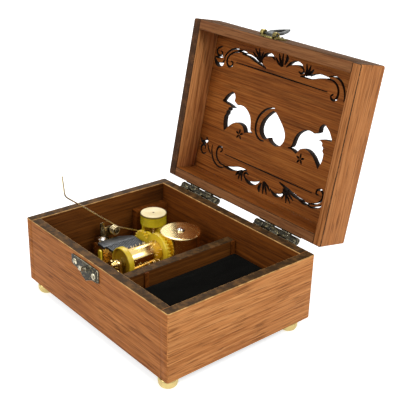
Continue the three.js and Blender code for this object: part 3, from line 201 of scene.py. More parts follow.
class NodeSheet:
    """A material's nodes, with short calls to add and join them."""

    def __init__(self, name: str) -> None:
        """Starts a material.

        Args:
            name: its name.
        """
        self.material = bpy.data.materials.new(name)
        self.material.use_nodes = True
        self.tree = self.material.node_tree
        self.shader = self.tree.nodes["Principled BSDF"]
        self.places = self.tree.nodes.new("ShaderNodeTexCoord").outputs["Object"]

    def give(self, socket: NodeSocket, value: object) -> None:
        """Links an output to a socket, or sets its value.

        Args:
            socket: the socket.
            value: an output, a number, a vector, or a colour with or without its last number.
        """
        if isinstance(value, NodeSocket):
            self.tree.links.new(value, socket)
        elif socket.type == "RGBA" and len(value) == 3:
            socket.default_value = (*value, 1)
        else:
            socket.default_value = value

    def node(self, kind: str, inputs: dict[str | int, object], **settings: object) -> Node:
        """Adds a node.

        Args:
            kind: the node's type.
            inputs: values or outputs for its inputs.
            settings: values for its own settings.

        Returns:
            The node.
        """
        made = self.tree.nodes.new(kind)
        for key, value in settings.items():
            setattr(made, key, value)
        for key, value in inputs.items():
            self.give(made.inputs[key], value)
        return made

    def stretched(self, scale: Sequence[float], turn: Sequence[float]) -> NodeSocket:
        """Returns: object coordinates, turned and then scaled."""
        turned = self.node("ShaderNodeMapping", {"Vector": self.places, "Rotation": turn}).outputs[0]
        return self.node("ShaderNodeMapping", {"Vector": turned, "Scale": scale}).outputs[0]

    def noise(self, noise: Noise, turn: Sequence[float] = (0, 0, 0)) -> NodeSocket:
        """Adds a noise.

        Args:
            noise: its pattern.
            turn: how far it is turned before it is drawn out, in radians.

        Returns:
            Its value.
        """
        where = self.places if noise.stretch == (1, 1, 1) else self.stretched(noise.stretch, turn)
        made = self.node("ShaderNodeTexNoise", {
            "Vector": where, "Scale": noise.scale, "Detail": noise.detail, "Roughness": noise.roughness,
            "Distortion": noise.distortion})
        return made.outputs["Fac"]

    def noises(self, *patterns: Pattern, turn: Sequence[float] = (0, 0, 0)) -> list[NodeSocket]:
        """Returns: the values of several noises."""
        return [self.noise(pattern.value, turn) for pattern in patterns]

    def ramp(self, value: NodeSocket, stops: Sequence[float], colours: Sequence[Triple]) -> NodeSocket:
        """Colours a value.

        Args:
            value: the value.
            stops: where the colours stand, lowest first.
            colours: the colours.

        Returns:
            The colour between the two nearest stops.
        """
        made = self.node("ShaderNodeValToRGB", {"Fac": value})
        band = made.color_ramp
        while len(band.elements) < len(stops):
            band.elements.new(0.5)
        for element, stop, colour in zip(band.elements, stops, colours):
            element.position = stop
            element.color = (*colour, 1)
        return made.outputs["Color"]

    def grey(self, value: NodeSocket, low: float, high: float, start: float = 0, end: float = 1) -> NodeSocket:
        """Returns: a value carried from the span of start and end to the span of low and high."""
        spans = {"Value": value, "From Min": start, "From Max": end, "To Min": low, "To Max": high}
        return self.node("ShaderNodeMapRange", spans).outputs["Result"]

    def mix(self, share: object, first: object, second: object) -> NodeSocket:
        """Returns: two colours mixed, with that share of the second."""
        colours = {MIX_SHARE: share, MIX_FIRST: first, MIX_SECOND: second}
        return self.node("ShaderNodeMix", colours, data_type="RGBA").outputs[MIX_RESULT]

    def sum(self, first: object, second: object, kind: str = "ADD") -> NodeSocket:
        """Returns: two values joined by a sum of that kind."""
        return self.node("ShaderNodeMath", {0: first, 1: second}, operation=kind).outputs[0]

    def part(self, value: NodeSocket, share: float) -> NodeSocket:
        """Returns: a value times a share."""
        return self.sum(value, share, "MULTIPLY")

    def bump(self, height: NodeSocket, depth: float, strength: float) -> None:
        """Gives the shader a bump of that depth in metres."""
        made = self.node("ShaderNodeBump", {"Height": height, "Distance": depth, "Strength": strength})
        self.give(self.shader.inputs["Normal"], made.outputs["Normal"])

    def set(self, **values: object) -> None:
        """Gives the shader's sockets values or outputs, named in lower case with underscores."""
        for key, value in values.items():
            self.give(self.shader.inputs[key.replace("_", " ").title().replace("Ior", "IOR")], value)


@dataclass(frozen=True)
class Wood:
    """Oiled wood with long dark pores and a slow change of tone."""

    name: str
    light: Triple
    main: Triple
    dark: Triple
    turn: Triple = ALONG_X
    roughness: float = 0.5
    pores: float = 0.75
    fleck: float = 0.5
    tone_stops: Triple = (0.34, 0.5, 0.66)
    fleck_stops: Triple = (0.36, 0.5, 0.62)
    fibre_stops: Spot = (0.38, 0.6)
    fibre_share: float = 0.35
    pore_edge: Spot = (0.36, 0.44)
    pore_tone: float = 0.5
    gloss: float = 0.1
    depth: float = 0.00012

    def build(self) -> Material:
        """Returns: the wood, its grain along X before it is turned."""
        sheet = NodeSheet(self.name)
        slow, fibre, flecks, pores, rings = sheet.noises(
            Pattern.WOOD_TONE, Pattern.WOOD_FIBRE, Pattern.WOOD_FLECKS, Pattern.WOOD_PORES, Pattern.WOOD_RINGS,
            turn=tuple(math.radians(angle) for angle in self.turn))
        shades = (self.dark, self.main, self.light)
        plain = sheet.ramp(sheet.sum(sheet.part(slow, 0.5), sheet.part(rings, 0.5)), self.tone_stops, shades)
        flecked = sheet.mix(self.fleck, plain, sheet.ramp(flecks, self.fleck_stops, shades))
        fine = sheet.mix(self.fibre_share, flecked, sheet.ramp(fibre, self.fibre_stops, (self.dark, self.light)))
        holes = sheet.grey(pores, 1, 0, *self.pore_edge)
        sheet.set(base_color=sheet.mix(sheet.part(holes, self.pores), fine, dimmed(self.dark, self.pore_tone)),
                  roughness=sheet.grey(fibre, self.roughness - 0.06, self.roughness + 0.12, start=0.3, end=0.7),
                  specular_ior_level=self.gloss)
        sheet.bump(sheet.sum(sheet.part(fibre, 0.5), sheet.part(holes, 0.8), "SUBTRACT"), self.depth, strength=0.6)
        return sheet.material


@dataclass(frozen=True)
class Paint:
    """Thin dark stain on cut edges, rubbed through in places; the left lid rim's finish is painted shade, and the base
    walls' edges carry a painted highlight.
    """

    name: str
    colour: Triple
    worn: Triple
    wear: float = 0.25
    roughness: float = 0.6
    patch_share: float = 0.7
    shade: float = 0.6
    gloss: float = 0.1
    depth: float = 0.0001

    def build(self) -> Material:
        """Returns: the stain."""
        sheet = NodeSheet(self.name)
        patch, grain = sheet.noises(Pattern.STAIN_PATCHES, Pattern.STAIN_GRAIN)
        mask = sheet.grey(sheet.sum(sheet.part(patch, self.patch_share), sheet.part(grain, 1 - self.patch_share)),
                          0, 1, start=0.62 - self.wear * 0.4, end=0.7 - self.wear * 0.2)
        stain = sheet.mix(sheet.grey(grain, 0, 0.5), self.colour, dimmed(self.colour, self.shade))
        sheet.set(base_color=sheet.mix(mask, stain, self.worn), specular_ior_level=self.gloss,
                  roughness=sheet.grey(grain, self.roughness - 0.1, self.roughness + 0.15))
        sheet.bump(grain, self.depth, strength=0.5)
        return sheet.material


@dataclass(frozen=True)
class Metal:
    """Plated or bare metal with fine scratches and darker tarnish in patches."""

    name: str
    colour: Triple
    dull: Triple
    roughness: float = 0.22
    dirt: float = 0.3
    brushed: Triple = (1, 1, 1)
    wave: float = 0.00002
    lathe: float = 0
    dirt_edge: Spot = (0.42, 0.68)
    dirt_roughness: float = 0.35

    def build(self) -> Material:
        """Returns: the metal."""
        sheet = NodeSheet(self.name)
        fine = sheet.noise(replace(Pattern.METAL_SCRATCHES.value, stretch=self.brushed))
        stain = sheet.grey(sheet.noise(Pattern.METAL_TARNISH.value), 0, self.dirt, *self.dirt_edge)
        bare = sheet.grey(fine, self.roughness * 0.75, self.roughness * 1.35, start=0.3, end=0.7)
        sheet.set(base_color=sheet.mix(stain, self.colour, self.dull), metallic=1,
                  roughness=sheet.sum(bare, sheet.part(stain, self.dirt_roughness)))
        if self.lathe:
            rings = sheet.node("ShaderNodeTangent", {}, direction_type="RADIAL", axis="Y")
            sheet.set(anisotropic=self.lathe, anisotropic_rotation=0.25, tangent=rings.outputs[0])
        sheet.bump(fine, self.wave, strength=0.5)
        return sheet.material


@dataclass(frozen=True)
class AgedBronze:
    """Dark bronze, rubbed bright in patches."""

    name: str
    bright: Triple
    dark: Triple
    rubbed: float = 0.3
    depth: float = 0.00005

    def build(self) -> Material:
        """Returns: the bronze."""
        sheet = NodeSheet(self.name)
        patch, spots = sheet.noises(Pattern.BRONZE_PATCHES, Pattern.BRONZE_SPOTS)
        edge = 0.74 - 0.4 * self.rubbed
        share = sheet.grey(sheet.sum(sheet.part(patch, 0.75), sheet.part(spots, 0.25)), 0, 1, edge - 0.1, edge + 0.06)
        sheet.set(base_color=sheet.mix(share, self.dark, self.bright),
                  roughness=sheet.grey(share, 0.5, 0.26), metallic=sheet.grey(share, 0.8, 1))
        sheet.bump(sheet.sum(patch, spots), self.depth, strength=0.5)
        return sheet.material


@dataclass(frozen=True)
class Plastic:
    """Moulded plastic with a faint waviness and a soft sheen."""

    name: str
    colour: Triple
    shade: Triple
    roughness: float = 0.35
    glow: float = 0.08
    glow_reach: Triple = (0.002, 0.0012, 0.0006)
    gloss: float = 0.5
    depth: float = 0.00001

    def build(self) -> Material:
        """Returns: the plastic."""
        sheet = NodeSheet(self.name)
        slow, fine = sheet.noises(Pattern.PLASTIC_TONE, Pattern.PLASTIC_SKIN)
        sheet.set(base_color=sheet.mix(sheet.grey(slow, 0, 1, start=0.35, end=0.65), self.colour, self.shade),
                  roughness=sheet.grey(fine, self.roughness - 0.06, self.roughness + 0.08),
                  subsurface_weight=self.glow, subsurface_radius=self.glow_reach, specular_ior_level=self.gloss)
        sheet.bump(fine, self.depth, strength=0.4)
        return sheet.material


@dataclass(frozen=True)
class Velvet:
    """Short black pile over foam, with a soft sheen at grazing light, a painted sheen on its strokes and painted shade
    in its pile.
    """

    name: str
    colour: Triple
    sheen: Triple
    # How much lighter the brushed strokes are painted: a painted sheen.
    brushed: float = 2.2
    # How dark the pile's hollows are painted: painted shade.
    hollow: float = 0.4
    depth: float = 0.00025

    def build(self) -> Material:
        """Returns: the velvet."""
        sheet = NodeSheet(self.name)
        pile, strokes = sheet.noises(Pattern.VELVET_PILE, Pattern.VELVET_STROKES)
        # Strokes painted lighter are a painted sheen; specks painted darker are painted shade in the pile.
        lit = sheet.grey(strokes, 0, 0.8, start=0.4, end=0.7)
        tone = sheet.mix(lit, self.colour, dimmed(self.colour, self.brushed))
        sheet.set(base_color=sheet.mix(sheet.grey(pile, 0, 0.5), tone, dimmed(self.colour, self.hollow)),
                  roughness=0.92, sheen_weight=0.03, sheen_roughness=0.4, sheen_tint=self.sheen,
                  specular_ior_level=0.03)
        sheet.bump(pile, self.depth, strength=0.8)
        return sheet.material


class Finish(Enum):
    """The finishes of the box, each built when it is first asked for."""

    SIDE_BOARDS = Wood("side_boards", (0.75, 0.35, 0.123), (0.53, 0.192, 0.052), (0.22, 0.063, 0.013),
                       ALONG_Y, 0.6, 0.55)
    # The side boards' wood painted darker: painted shade on the front and back walls and on every wall's ends.
    FRONT_BOARDS = Wood("front_boards", (0.59, 0.24, 0.077), (0.4, 0.134, 0.033), (0.17, 0.046, 0.009),
                        ALONG_X, 0.6, 0.55)
    LID_SIDE_BOARDS = Wood("lid_side_boards", (0.61, 0.26, 0.088), (0.43, 0.152, 0.042), (0.19, 0.055, 0.012),
                           LID_ALONG_Y, 0.6, 0.55)
    # A much darker copy of the lid's wood: painted shade on the lid's front wall, which faces up when open, and on the
    # lid walls' ends.
    LID_FRONT_BOARDS = Wood("lid_front_boards", (0.182, 0.088, 0.036), (0.116, 0.052, 0.02), (0.052, 0.021, 0.007),
                            LID_ALONG_X, 0.7, 0.4)
    LID_BACK_BOARDS = Wood("lid_back_boards", (0.6, 0.25, 0.085), (0.41, 0.14, 0.037), (0.18, 0.05, 0.011),
                           LID_ALONG_X, 0.6, 0.55)
    LID_RIM = Wood("lid_front_rim", (0.36, 0.16, 0.06), (0.24, 0.09, 0.03), (0.12, 0.036, 0.01),
                   LID_ALONG_X, 0.65, 0.4)
    PANEL = Wood("sawn_lid_board", (0.47, 0.17, 0.036), (0.25, 0.062, 0.007), (0.06, 0.012, 0.001),
                 LID_ALONG_X, 0.6, 0.3, 0.22)
    # Inner boards, inner side boards and the floor board are painted dark: painted shade inside the box.
    INNER = Wood("shaded_inner_boards", (0.24, 0.068, 0.008), (0.145, 0.036, 0.003), (0.06, 0.014, 0.001),
                 ALONG_X, 0.7, 0.35)
    INNER_SIDE = Wood("shaded_inner_side_boards", (0.2, 0.066, 0.01), (0.12, 0.035, 0.004), (0.054, 0.014, 0.001),
                      ALONG_Y, 0.7, 0.35)
    FLOOR = Wood("shaded_floor_board", (0.07, 0.028, 0.008), (0.045, 0.017, 0.005), (0.022, 0.008, 0.003),
                 ALONG_X, 0.8, 0.3)
    LID_INNER = Wood("lid_inner_faces", (0.85, 0.41, 0.15), (0.62, 0.24, 0.072), (0.27, 0.082, 0.018),
                     LID_ALONG_Y, 0.6, 0.5)
    RIM = Paint("rim_stain", (0.046, 0.024, 0.009), (0.14, 0.068, 0.022), 0.42)
    # Dark brown on the left lid wall's rim, where the right rim keeps plain side wood: painted shade.
    LID_LEFT_RIM = Paint("shaded_brown_lid_rim", (0.058, 0.024, 0.009), (0.13, 0.054, 0.02), 0.4)
    # Rubbed edges of the base walls; their light golden tone is partly wear and partly a painted highlight along the
    # rounded edges.
    WORN_EDGE = Paint("rubbed_and_highlit_board_edges", (0.34, 0.16, 0.05), (0.72, 0.42, 0.15), 0.6)
    # A darker colour on the soft edges of the lid walls and the divider.
    DARK_EDGE = Paint("dark_board_edges", (0.05, 0.024, 0.01), (0.2, 0.085, 0.03), 0.25)
    SAWN_EDGE = Paint("scorched_sawn_edges", (0.022, 0.01, 0.005), (0.07, 0.026, 0.009), 0.1)
    FOOT_BRASS = Metal("turned_foot_brass", (0.6, 0.48, 0.2), (0.28, 0.19, 0.07), 0.12, 0.35)
    GILT = Metal("gilt_castings", (0.95, 0.72, 0.3), (0.42, 0.27, 0.07), 0.18, 0.35)
    PIN_BRASS = Metal("bright_pin_tips", (1, 0.86, 0.55), (0.8, 0.6, 0.3), 0.25, 0.1)
    MIRROR_GILT = Metal("polished_spring_housing", (1, 0.79, 0.38), (0.8, 0.55, 0.2), 0.15, 0.1, (1, 0.1, 1), 0.000003)
    CYLINDER_BRASS = Metal("turned_cylinder_brass", (0.97, 0.72, 0.28), (0.5, 0.31, 0.08), 0.15, 0.15, (1, 0.1, 1),
                           0.000004, 0.85)
    GEAR_BRASS = Metal("cut_gear_brass", (0.82, 0.62, 0.12), (0.58, 0.4, 0.06), 0.42, 0.2)
    COMB_STEEL = Metal("ground_comb_steel", (0.1, 0.105, 0.11), (0.05, 0.05, 0.05), 0.42, 0.3, (0.3, 1, 1))
    BRIGHT_STEEL = Metal("screw_steel", (0.75, 0.73, 0.7), (0.4, 0.37, 0.33), 0.17, 0.3)
    GREY_STEEL = Metal("grey_loop_steel", (0.1, 0.105, 0.1), (0.04, 0.04, 0.036), 0.4, 0.6)
    WIRE_BRASS = Metal("spring_wire", (0.74, 0.62, 0.38), (0.4, 0.31, 0.16), 0.26, 0.35)
    BRACKET_GILT = Metal("tarnished_bracket", (0.3, 0.23, 0.12), (0.04, 0.027, 0.012), 0.14, 0.95)
    BRONZE = AgedBronze("worn_dark_bronze", (0.24, 0.2, 0.1), (0.02, 0.018, 0.012), 0.32)
    RUBBED_BRONZE = AgedBronze("rubbed_bronze_edges", (0.66, 0.6, 0.44), (0.05, 0.042, 0.028), 0.62)
    OLIVE_BRONZE = AgedBronze("olive_bronze_clip", (0.4, 0.32, 0.1), (0.04, 0.033, 0.012), 0.55)
    YELLOW = Plastic("yellow_moulding", (0.78, 0.57, 0.022), (0.64, 0.44, 0.014))
    # A darker copy of the yellow moulding: painted shade in the flange's sunk front.
    AMBER = Plastic("shaded_moulding", (0.46, 0.28, 0.012), (0.33, 0.18, 0.008))
    OCHRE = Plastic("drum_rim", (0.2, 0.14, 0.012), (0.13, 0.085, 0.008), 0.3)
    DRUM = Plastic("drum_moulding", (0.58, 0.46, 0.018), (0.42, 0.33, 0.01), 0.25)
    CREAM = Plastic("cream_disc", (0.95, 0.82, 0.5), (0.88, 0.72, 0.38), 0.5)
    # A near-black dot for the hole in the drum's middle: painted shade.
    DARK_HOLLOW = Plastic("dark_hollow", (0.05, 0.035, 0.02), (0.03, 0.02, 0.012), 0.5)
    VELVET = Velvet("black_velvet", (0.0028, 0.0028, 0.0024), (0.25, 0.25, 0.22))

    @property
    def material(self) -> Material:
        """The finish as a material."""
        return bpy.data.materials.get(self.value.name) or self.value.build()


def facing(*rules: tuple[Vector, int]) -> Picker:
    """Makes a picker of finishes by the way that a face looks.

    Args:
        rules: directions, each with the number of its finish.

    Returns:
        A picker that gives the first finish whose direction the face looks along, or else 0.
    """
    def pick(face: BMFace) -> int:
        """Returns: the number of the face's finish."""
        return next((int(number) for way, number in rules if face.normal.dot(way) > LOOKS_ALONG), 0)

    return pick


def glued_ends(covered: int | None) -> EdgeRule:
    """Makes a rule for the edges along a glued joint, which stay sharp.

    Args:
        covered: the number of the finish of the side that the next board covers, or None for any side.

    Returns:
        The rule.
    """
    def rule(edge: BMEdge) -> bool:
        """Returns: whether an edge lies along the joint."""
        numbers = {face.material_index for face in edge.link_faces}
        return Side.END in numbers and covered in (None, *(numbers - {Side.END}))

    return rule


@dataclass
class Look:
    """How a shape is dressed and where it belongs.

    Attributes:
        name: the piece's name.
        body: the body that it rides on.
        slot: the record's slot; not used.
        finishes: its finishes.
        stands_for: the nodes that it replaces.
        pick: gives a face the number of its finish.
        bevel: the width of its soft edges in millimetres.
        segments: how many faces go round a soft edge.
        edge: the finish of the soft edges.
        crease: the least angle in degrees of an edge that shows as one.
        joint: tells the edges that stay sharp.
        flat: whether its faces stay flat beside a soft edge.
    """

    name: str
    body: str
    slot: str
    finishes: tuple[Finish, ...]
    stands_for: tuple[str, ...] = ()
    pick: Picker | None = None
    bevel: float = 0
    segments: int = 2
    edge: Finish | None = None
    crease: float = 35
    joint: EdgeRule | None = None
    flat: bool = False


class Bench:
    """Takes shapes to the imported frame: dresses them, names them and sets them on their bodies."""

    def __init__(self, frame: dict[str, object]) -> None:
        """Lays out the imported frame.

        Args:
            frame: what the frame's load gave.
        """
        self.frame = frame

    def mesh_of(self, node: str) -> bpy.types.Mesh:
        """Returns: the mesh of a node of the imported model."""
        return self.frame["nodes"][node].data

    def copy_of(self, node: str) -> BMesh:
        """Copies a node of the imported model.

        Args:
            node: its name.

        Returns:
            Its mesh, merged, with each flat face whole.
        """
        made = bmesh.new()
        made.from_mesh(self.mesh_of(node))
        bmesh.ops.remove_doubles(made, verts=made.verts, dist=NODE_MERGE_DISTANCE)
        bmesh.ops.dissolve_limit(made, angle_limit=FLATNESS, use_dissolve_boundaries=False, verts=made.verts,
                                 edges=made.edges)
        made.normal_update()
        return made

    def hand_over(self, made: BMesh, look: Look) -> None:
        """Makes a shape one piece of the object.

        Args:
            made: the shape, in its place in the row frame. It is freed.
            look: how it is dressed and where it belongs.
        """
        made.normal_update()
        for face in made.faces:
            face.smooth = True
            if look.pick:
                face.material_index = look.pick(face)
        limit = math.radians(look.crease)
        weight = made.edges.layers.float.new("bevel_weight_edge")
        for edge in made.edges:
            corner = edge.calc_face_angle(0) >= limit
            soft = bool(look.bevel) and corner and not (look.joint and look.joint(edge))
            edge[weight] = float(soft)
            edge.smooth = soft or not corner
        piece = as_object(look.name, made)
        for finish in look.finishes:
            piece.data.materials.append(finish.material)
        if look.edge:
            piece.data.materials.append(look.edge.material)
        if look.bevel:
            self.soften(piece, look)
        self.seat(piece, look)

    def soften(self, piece: Object, look: Look) -> None:
        """Rounds a piece's edges with a live bevel.

        Args:
            piece: the piece.
            look: its look, with the bevel's width in millimetres.
        """
        bevel = piece.modifiers.new("soft_edges", "BEVEL")
        bevel.width = look.bevel * MM
        bevel.segments = look.segments
        bevel.limit_method = "WEIGHT"
        bevel.harden_normals = True
        bevel.miter_outer = "MITER_ARC"
        if look.edge:
            bevel.material = len(look.finishes)
        if look.flat:
            piece.modifiers.new("flat_faces", "WEIGHTED_NORMAL").keep_sharp = True

    def seat(self, piece: Object, look: Look) -> None:
        """Sets a piece on its body and hides the nodes that it stands for.

        Args:
            piece: the piece.
            look: its look.
        """
        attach(piece, look.body)
        if look.stands_for:
            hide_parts(*look.stands_for)
        log.info("%s: %d faces on %s", look.name, len(piece.data.polygons), look.body)

    def dress(self, finish: Finish, node: str) -> None:
        """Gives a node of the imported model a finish.

        Args:
            finish: the finish.
            node: the node's name.
        """
        mesh = self.mesh_of(node)
        mesh.materials.clear()
        mesh.materials.append(finish.material)
        log.info("%s: dressed as %s", node, finish.value.name)

    def trim(self, node: str, body: str, slot: str, finish: Finish, bevel: float) -> None:
        """Copies a node, softens its edges and stands it in the node's place.

        Args:
            node: the node's name.
            body: the body that it rides on.
            slot: the record's slot.
            finish: its finish.
            bevel: the width of the soft edges in millimetres.
        """
        self.hand_over(self.copy_of(node), Look(node + "_trimmed", body, slot, (finish,), (node,), bevel=bevel))


@dataclass(frozen=True)
class Turning:
    """A shape turned on a lathe, from radius and height pairs in millimetres."""

    profile: Profile
    steps: int = 64

    def add(self, made: BMesh, foot: Vector, axis: Vector) -> None:
        """Adds the shape to a mesh.

        Args:
            made: the mesh.
            foot: where the height is 0, in metres.
            axis: the way that the height grows.
        """
        part = bmesh.new()
        axis = axis.normalized()
        side = axis.orthogonal().normalized()
        verts = [part.verts.new(foot + side * r * MM + axis * h * MM) for r, h in self.profile]
        edges = [part.edges.new(pair) for pair in zip(verts, verts[1:])]
        bmesh.ops.spin(part, geom=verts + edges, cent=foot, axis=axis, angle=math.tau, steps=self.steps,
                       use_merge=True, use_duplicate=False)
        bmesh.ops.remove_doubles(part, verts=part.verts, dist=MERGE_DISTANCE)
        bmesh.ops.recalc_face_normals(part, faces=part.faces)
        stamp(part, made, Matrix())
        part.free()


def stamp(part: BMesh, made: BMesh, matrix: Matrix) -> None:
    """Adds a copy of one mesh to another.

    Args:
        part: the mesh that is copied.
        made: the mesh that gets the copy.
        matrix: where the copy goes.
    """
    mesh = bpy.data.meshes.new("stamp")
    part.to_mesh(mesh)
    mesh.transform(matrix)
    made.from_mesh(mesh)
    bpy.data.meshes.remove(mesh)


def aim(seat: Vector, out: Vector, turn: float = 0) -> Matrix:
    """Where a shape goes that was made standing along Z.

    Args:
        seat: its foot.
        out: the way that it stands.
        turn: its turn about that way, in degrees.

    Returns:
        The matrix that carries it there.
    """
    stand = out.normalized().to_track_quat("Z", "Y").to_matrix().to_4x4()
    return Matrix.Translation(seat) @ stand @ Matrix.Rotation(math.radians(turn), 4, "Z")


@dataclass(frozen=True)
class ScrewHead:
    """A domed head with a sawn slot, its dome and its slot's floor in shares of radius and height."""

    radius: float
    height: float
    slot: float = 0.55
    steps: int = 28
    dome: Profile = ((0, 0), (1, 0), (1, 0.3), (0.93, 0.55), (0.72, 0.82), (0.4, 0.96), (0, 1))
    slot_floor: Profile = ((0, 0), (0.97, 0), (0.97, 0.3), (0, 0.3))

    def turned(self, shares: Profile) -> BMesh:
        """Turns a shape of the head.

        Args:
            shares: its profile in shares of the head's radius and height.

        Returns:
            The shape, standing on the origin.
        """
        made = bmesh.new()
        Turning(tuple((r * self.radius, h * self.height) for r, h in shares), self.steps).add(made, Vector(), UP)
        return made

    def add(self, made: BMesh, seat: Vector, out: Vector, turn: float) -> None:
        """Adds the head to a mesh.

        Args:
            made: the mesh.
            seat: the middle of its underside, in metres.
            out: the way that it stands.
            turn: the slot's turn in degrees.
        """
        half = self.turned(self.dome)
        bmesh.ops.bisect_plane(half, geom=[*half.verts, *half.edges, *half.faces], dist=MERGE_DISTANCE,
                               plane_co=(self.slot / 2 * MM, 0, 0), plane_no=(1, 0, 0), clear_inner=True)
        bmesh.ops.holes_fill(half, edges=[e for e in half.edges if e.is_boundary])
        bmesh.ops.recalc_face_normals(half, faces=half.faces)
        floor = self.turned(self.slot_floor)
        there = aim(seat, out, turn)
        for part, matrix in ((half, there), (half, there @ Matrix.Rotation(math.pi, 4, "Z")), (floor, there)):
            stamp(part, made, matrix)
        half.free()
        floor.free()


def smoothed(points: Sequence[Spot], steps: int = 4) -> list[Vector]:
    """Draws a smooth line through places.

    Args:
        points: the places.
        steps: how many parts each span is cut into.

    Returns:
        The line's points, the given places among them.
    """
    spots = [Vector(point) for point in points]
    spots = [2 * spots[0] - spots[1], *spots, 2 * spots[-1] - spots[-2]]
    line = []
    for a, b, c, d in zip(spots, spots[1:], spots[2:], spots[3:]):
        for step in range(steps):
            t = step / steps
            bent = 2 * b + (c - a) * t + (2 * a - 5 * b + 4 * c - d) * t ** 2
            line.append(0.5 * (bent + (3 * b - a - 3 * c + d) * t ** 3))
    return [*line, spots[-2]]


@dataclass(frozen=True)
class Stroke:
    """A sawn line, widest in its middle, in the closed lid's millimetres."""

    width: float
    line: tuple[Spot, ...]
    ends: float = 0.45

    def outline(self, grow: float) -> list[Vector]:
        """Traces the stroke's edge.

        Args:
            grow: how far the edge stands outside the stroke.

        Returns:
            The edge's points.
        """
        path = smoothed(self.line)
        last = len(path) - 1
        left, right = [], []
        for number, here in enumerate(path):
            along = (path[min(number + 1, last)] - path[max(number - 1, 0)]).normalized()
            side = Vector((-along.y, along.x))
            share = self.ends + (1 - self.ends) * math.sin(math.pi * number / last)
            half = self.width / 2 * share - SAW_EASE + grow
            here = here + along * (grow if number == last else -grow if number == 0 else 0)
            left.append(here + side * half)
            right.append(here - side * half)
        return left + right[::-1]


@dataclass(frozen=True)
class Figure:
    """A sawn figure, its edge made of smooth lines that meet at corners."""

    arcs: tuple[tuple[Spot, ...], ...]

    def outline(self, grow: float) -> list[Vector]:
        """Traces the figure's edge.

        Args:
            grow: how far the edge stands outside the figure.

        Returns:
            The edge's points.
        """
        edge = [point for arc in self.arcs for point in smoothed(arc)[:-1]]
        turn = math.copysign(1, sum(a.x * b.y - a.y * b.x for a, b in zip(edge, edge[1:] + edge[:1])))
        grown = []
        for before, here, after in zip(edge[-1:] + edge[:-1], edge, edge[1:] + edge[:1]):
            along = (after - before).normalized()
            grown.append(here + turn * grow * Vector((along.y, -along.x)))
        return grown


HEART = Figure((((-1.3, -7.4), (0.9, -6.4), (3.9, -4), (7.4, -0.7), (9.5, 2.5), (9.7, 5.9), (7.8, 9.1)),
                ((7.8, 9.1), (5.2, 10), (2.4, 9.8), (-0.2, 8.7), (-1.4, 7.3)),
                ((-1.4, 7.3), (-3.4, 8.5), (-5.9, 8.3), (-8, 6.4), (-8.8, 3.6), (-7.8, -0.4), (-4.7, -4.4),
                 (-1.3, -7.4))))
BIRD = Figure((((13.6, 8.4), (15.7, 7.3), (16.4, 5.2), (16.9, 2.6), (18.2, -0.1), (20.7, -2.4), (23.7, -3.8),
                (26.6, -4), (29.3, -3.6), (32.1, -5)),
               ((32.1, -5), (32, -7.3), (33.2, -9.1), (34.6, -9.6), (35.9, -8.8)),
               ((35.9, -8.8), (38.5, -6.8), (41.2, -3)),
               ((41.2, -3), (37.8, -2.7), (34.6, -2.1), (31.9, -1.1)),
               ((31.9, -1.1), (34, -1), (35.4, -0.2)), ((35.4, -0.2), (35.3, 0.9), (36.6, 1.9)),
               ((36.6, 1.9), (36.4, 3.4), (37.5, 4.8)),
               ((37.5, 4.8), (37.4, 8.4), (36.1, 12.8)),
               ((36.1, 12.8), (33.7, 10), (30.8, 7.4), (27.3, 5.8), (24.1, 5.8), (21.5, 7), (19.8, 9.7)),
               ((19.8, 9.7), (17.6, 8.8), (15.9, 8.4), (13.6, 8.4))))
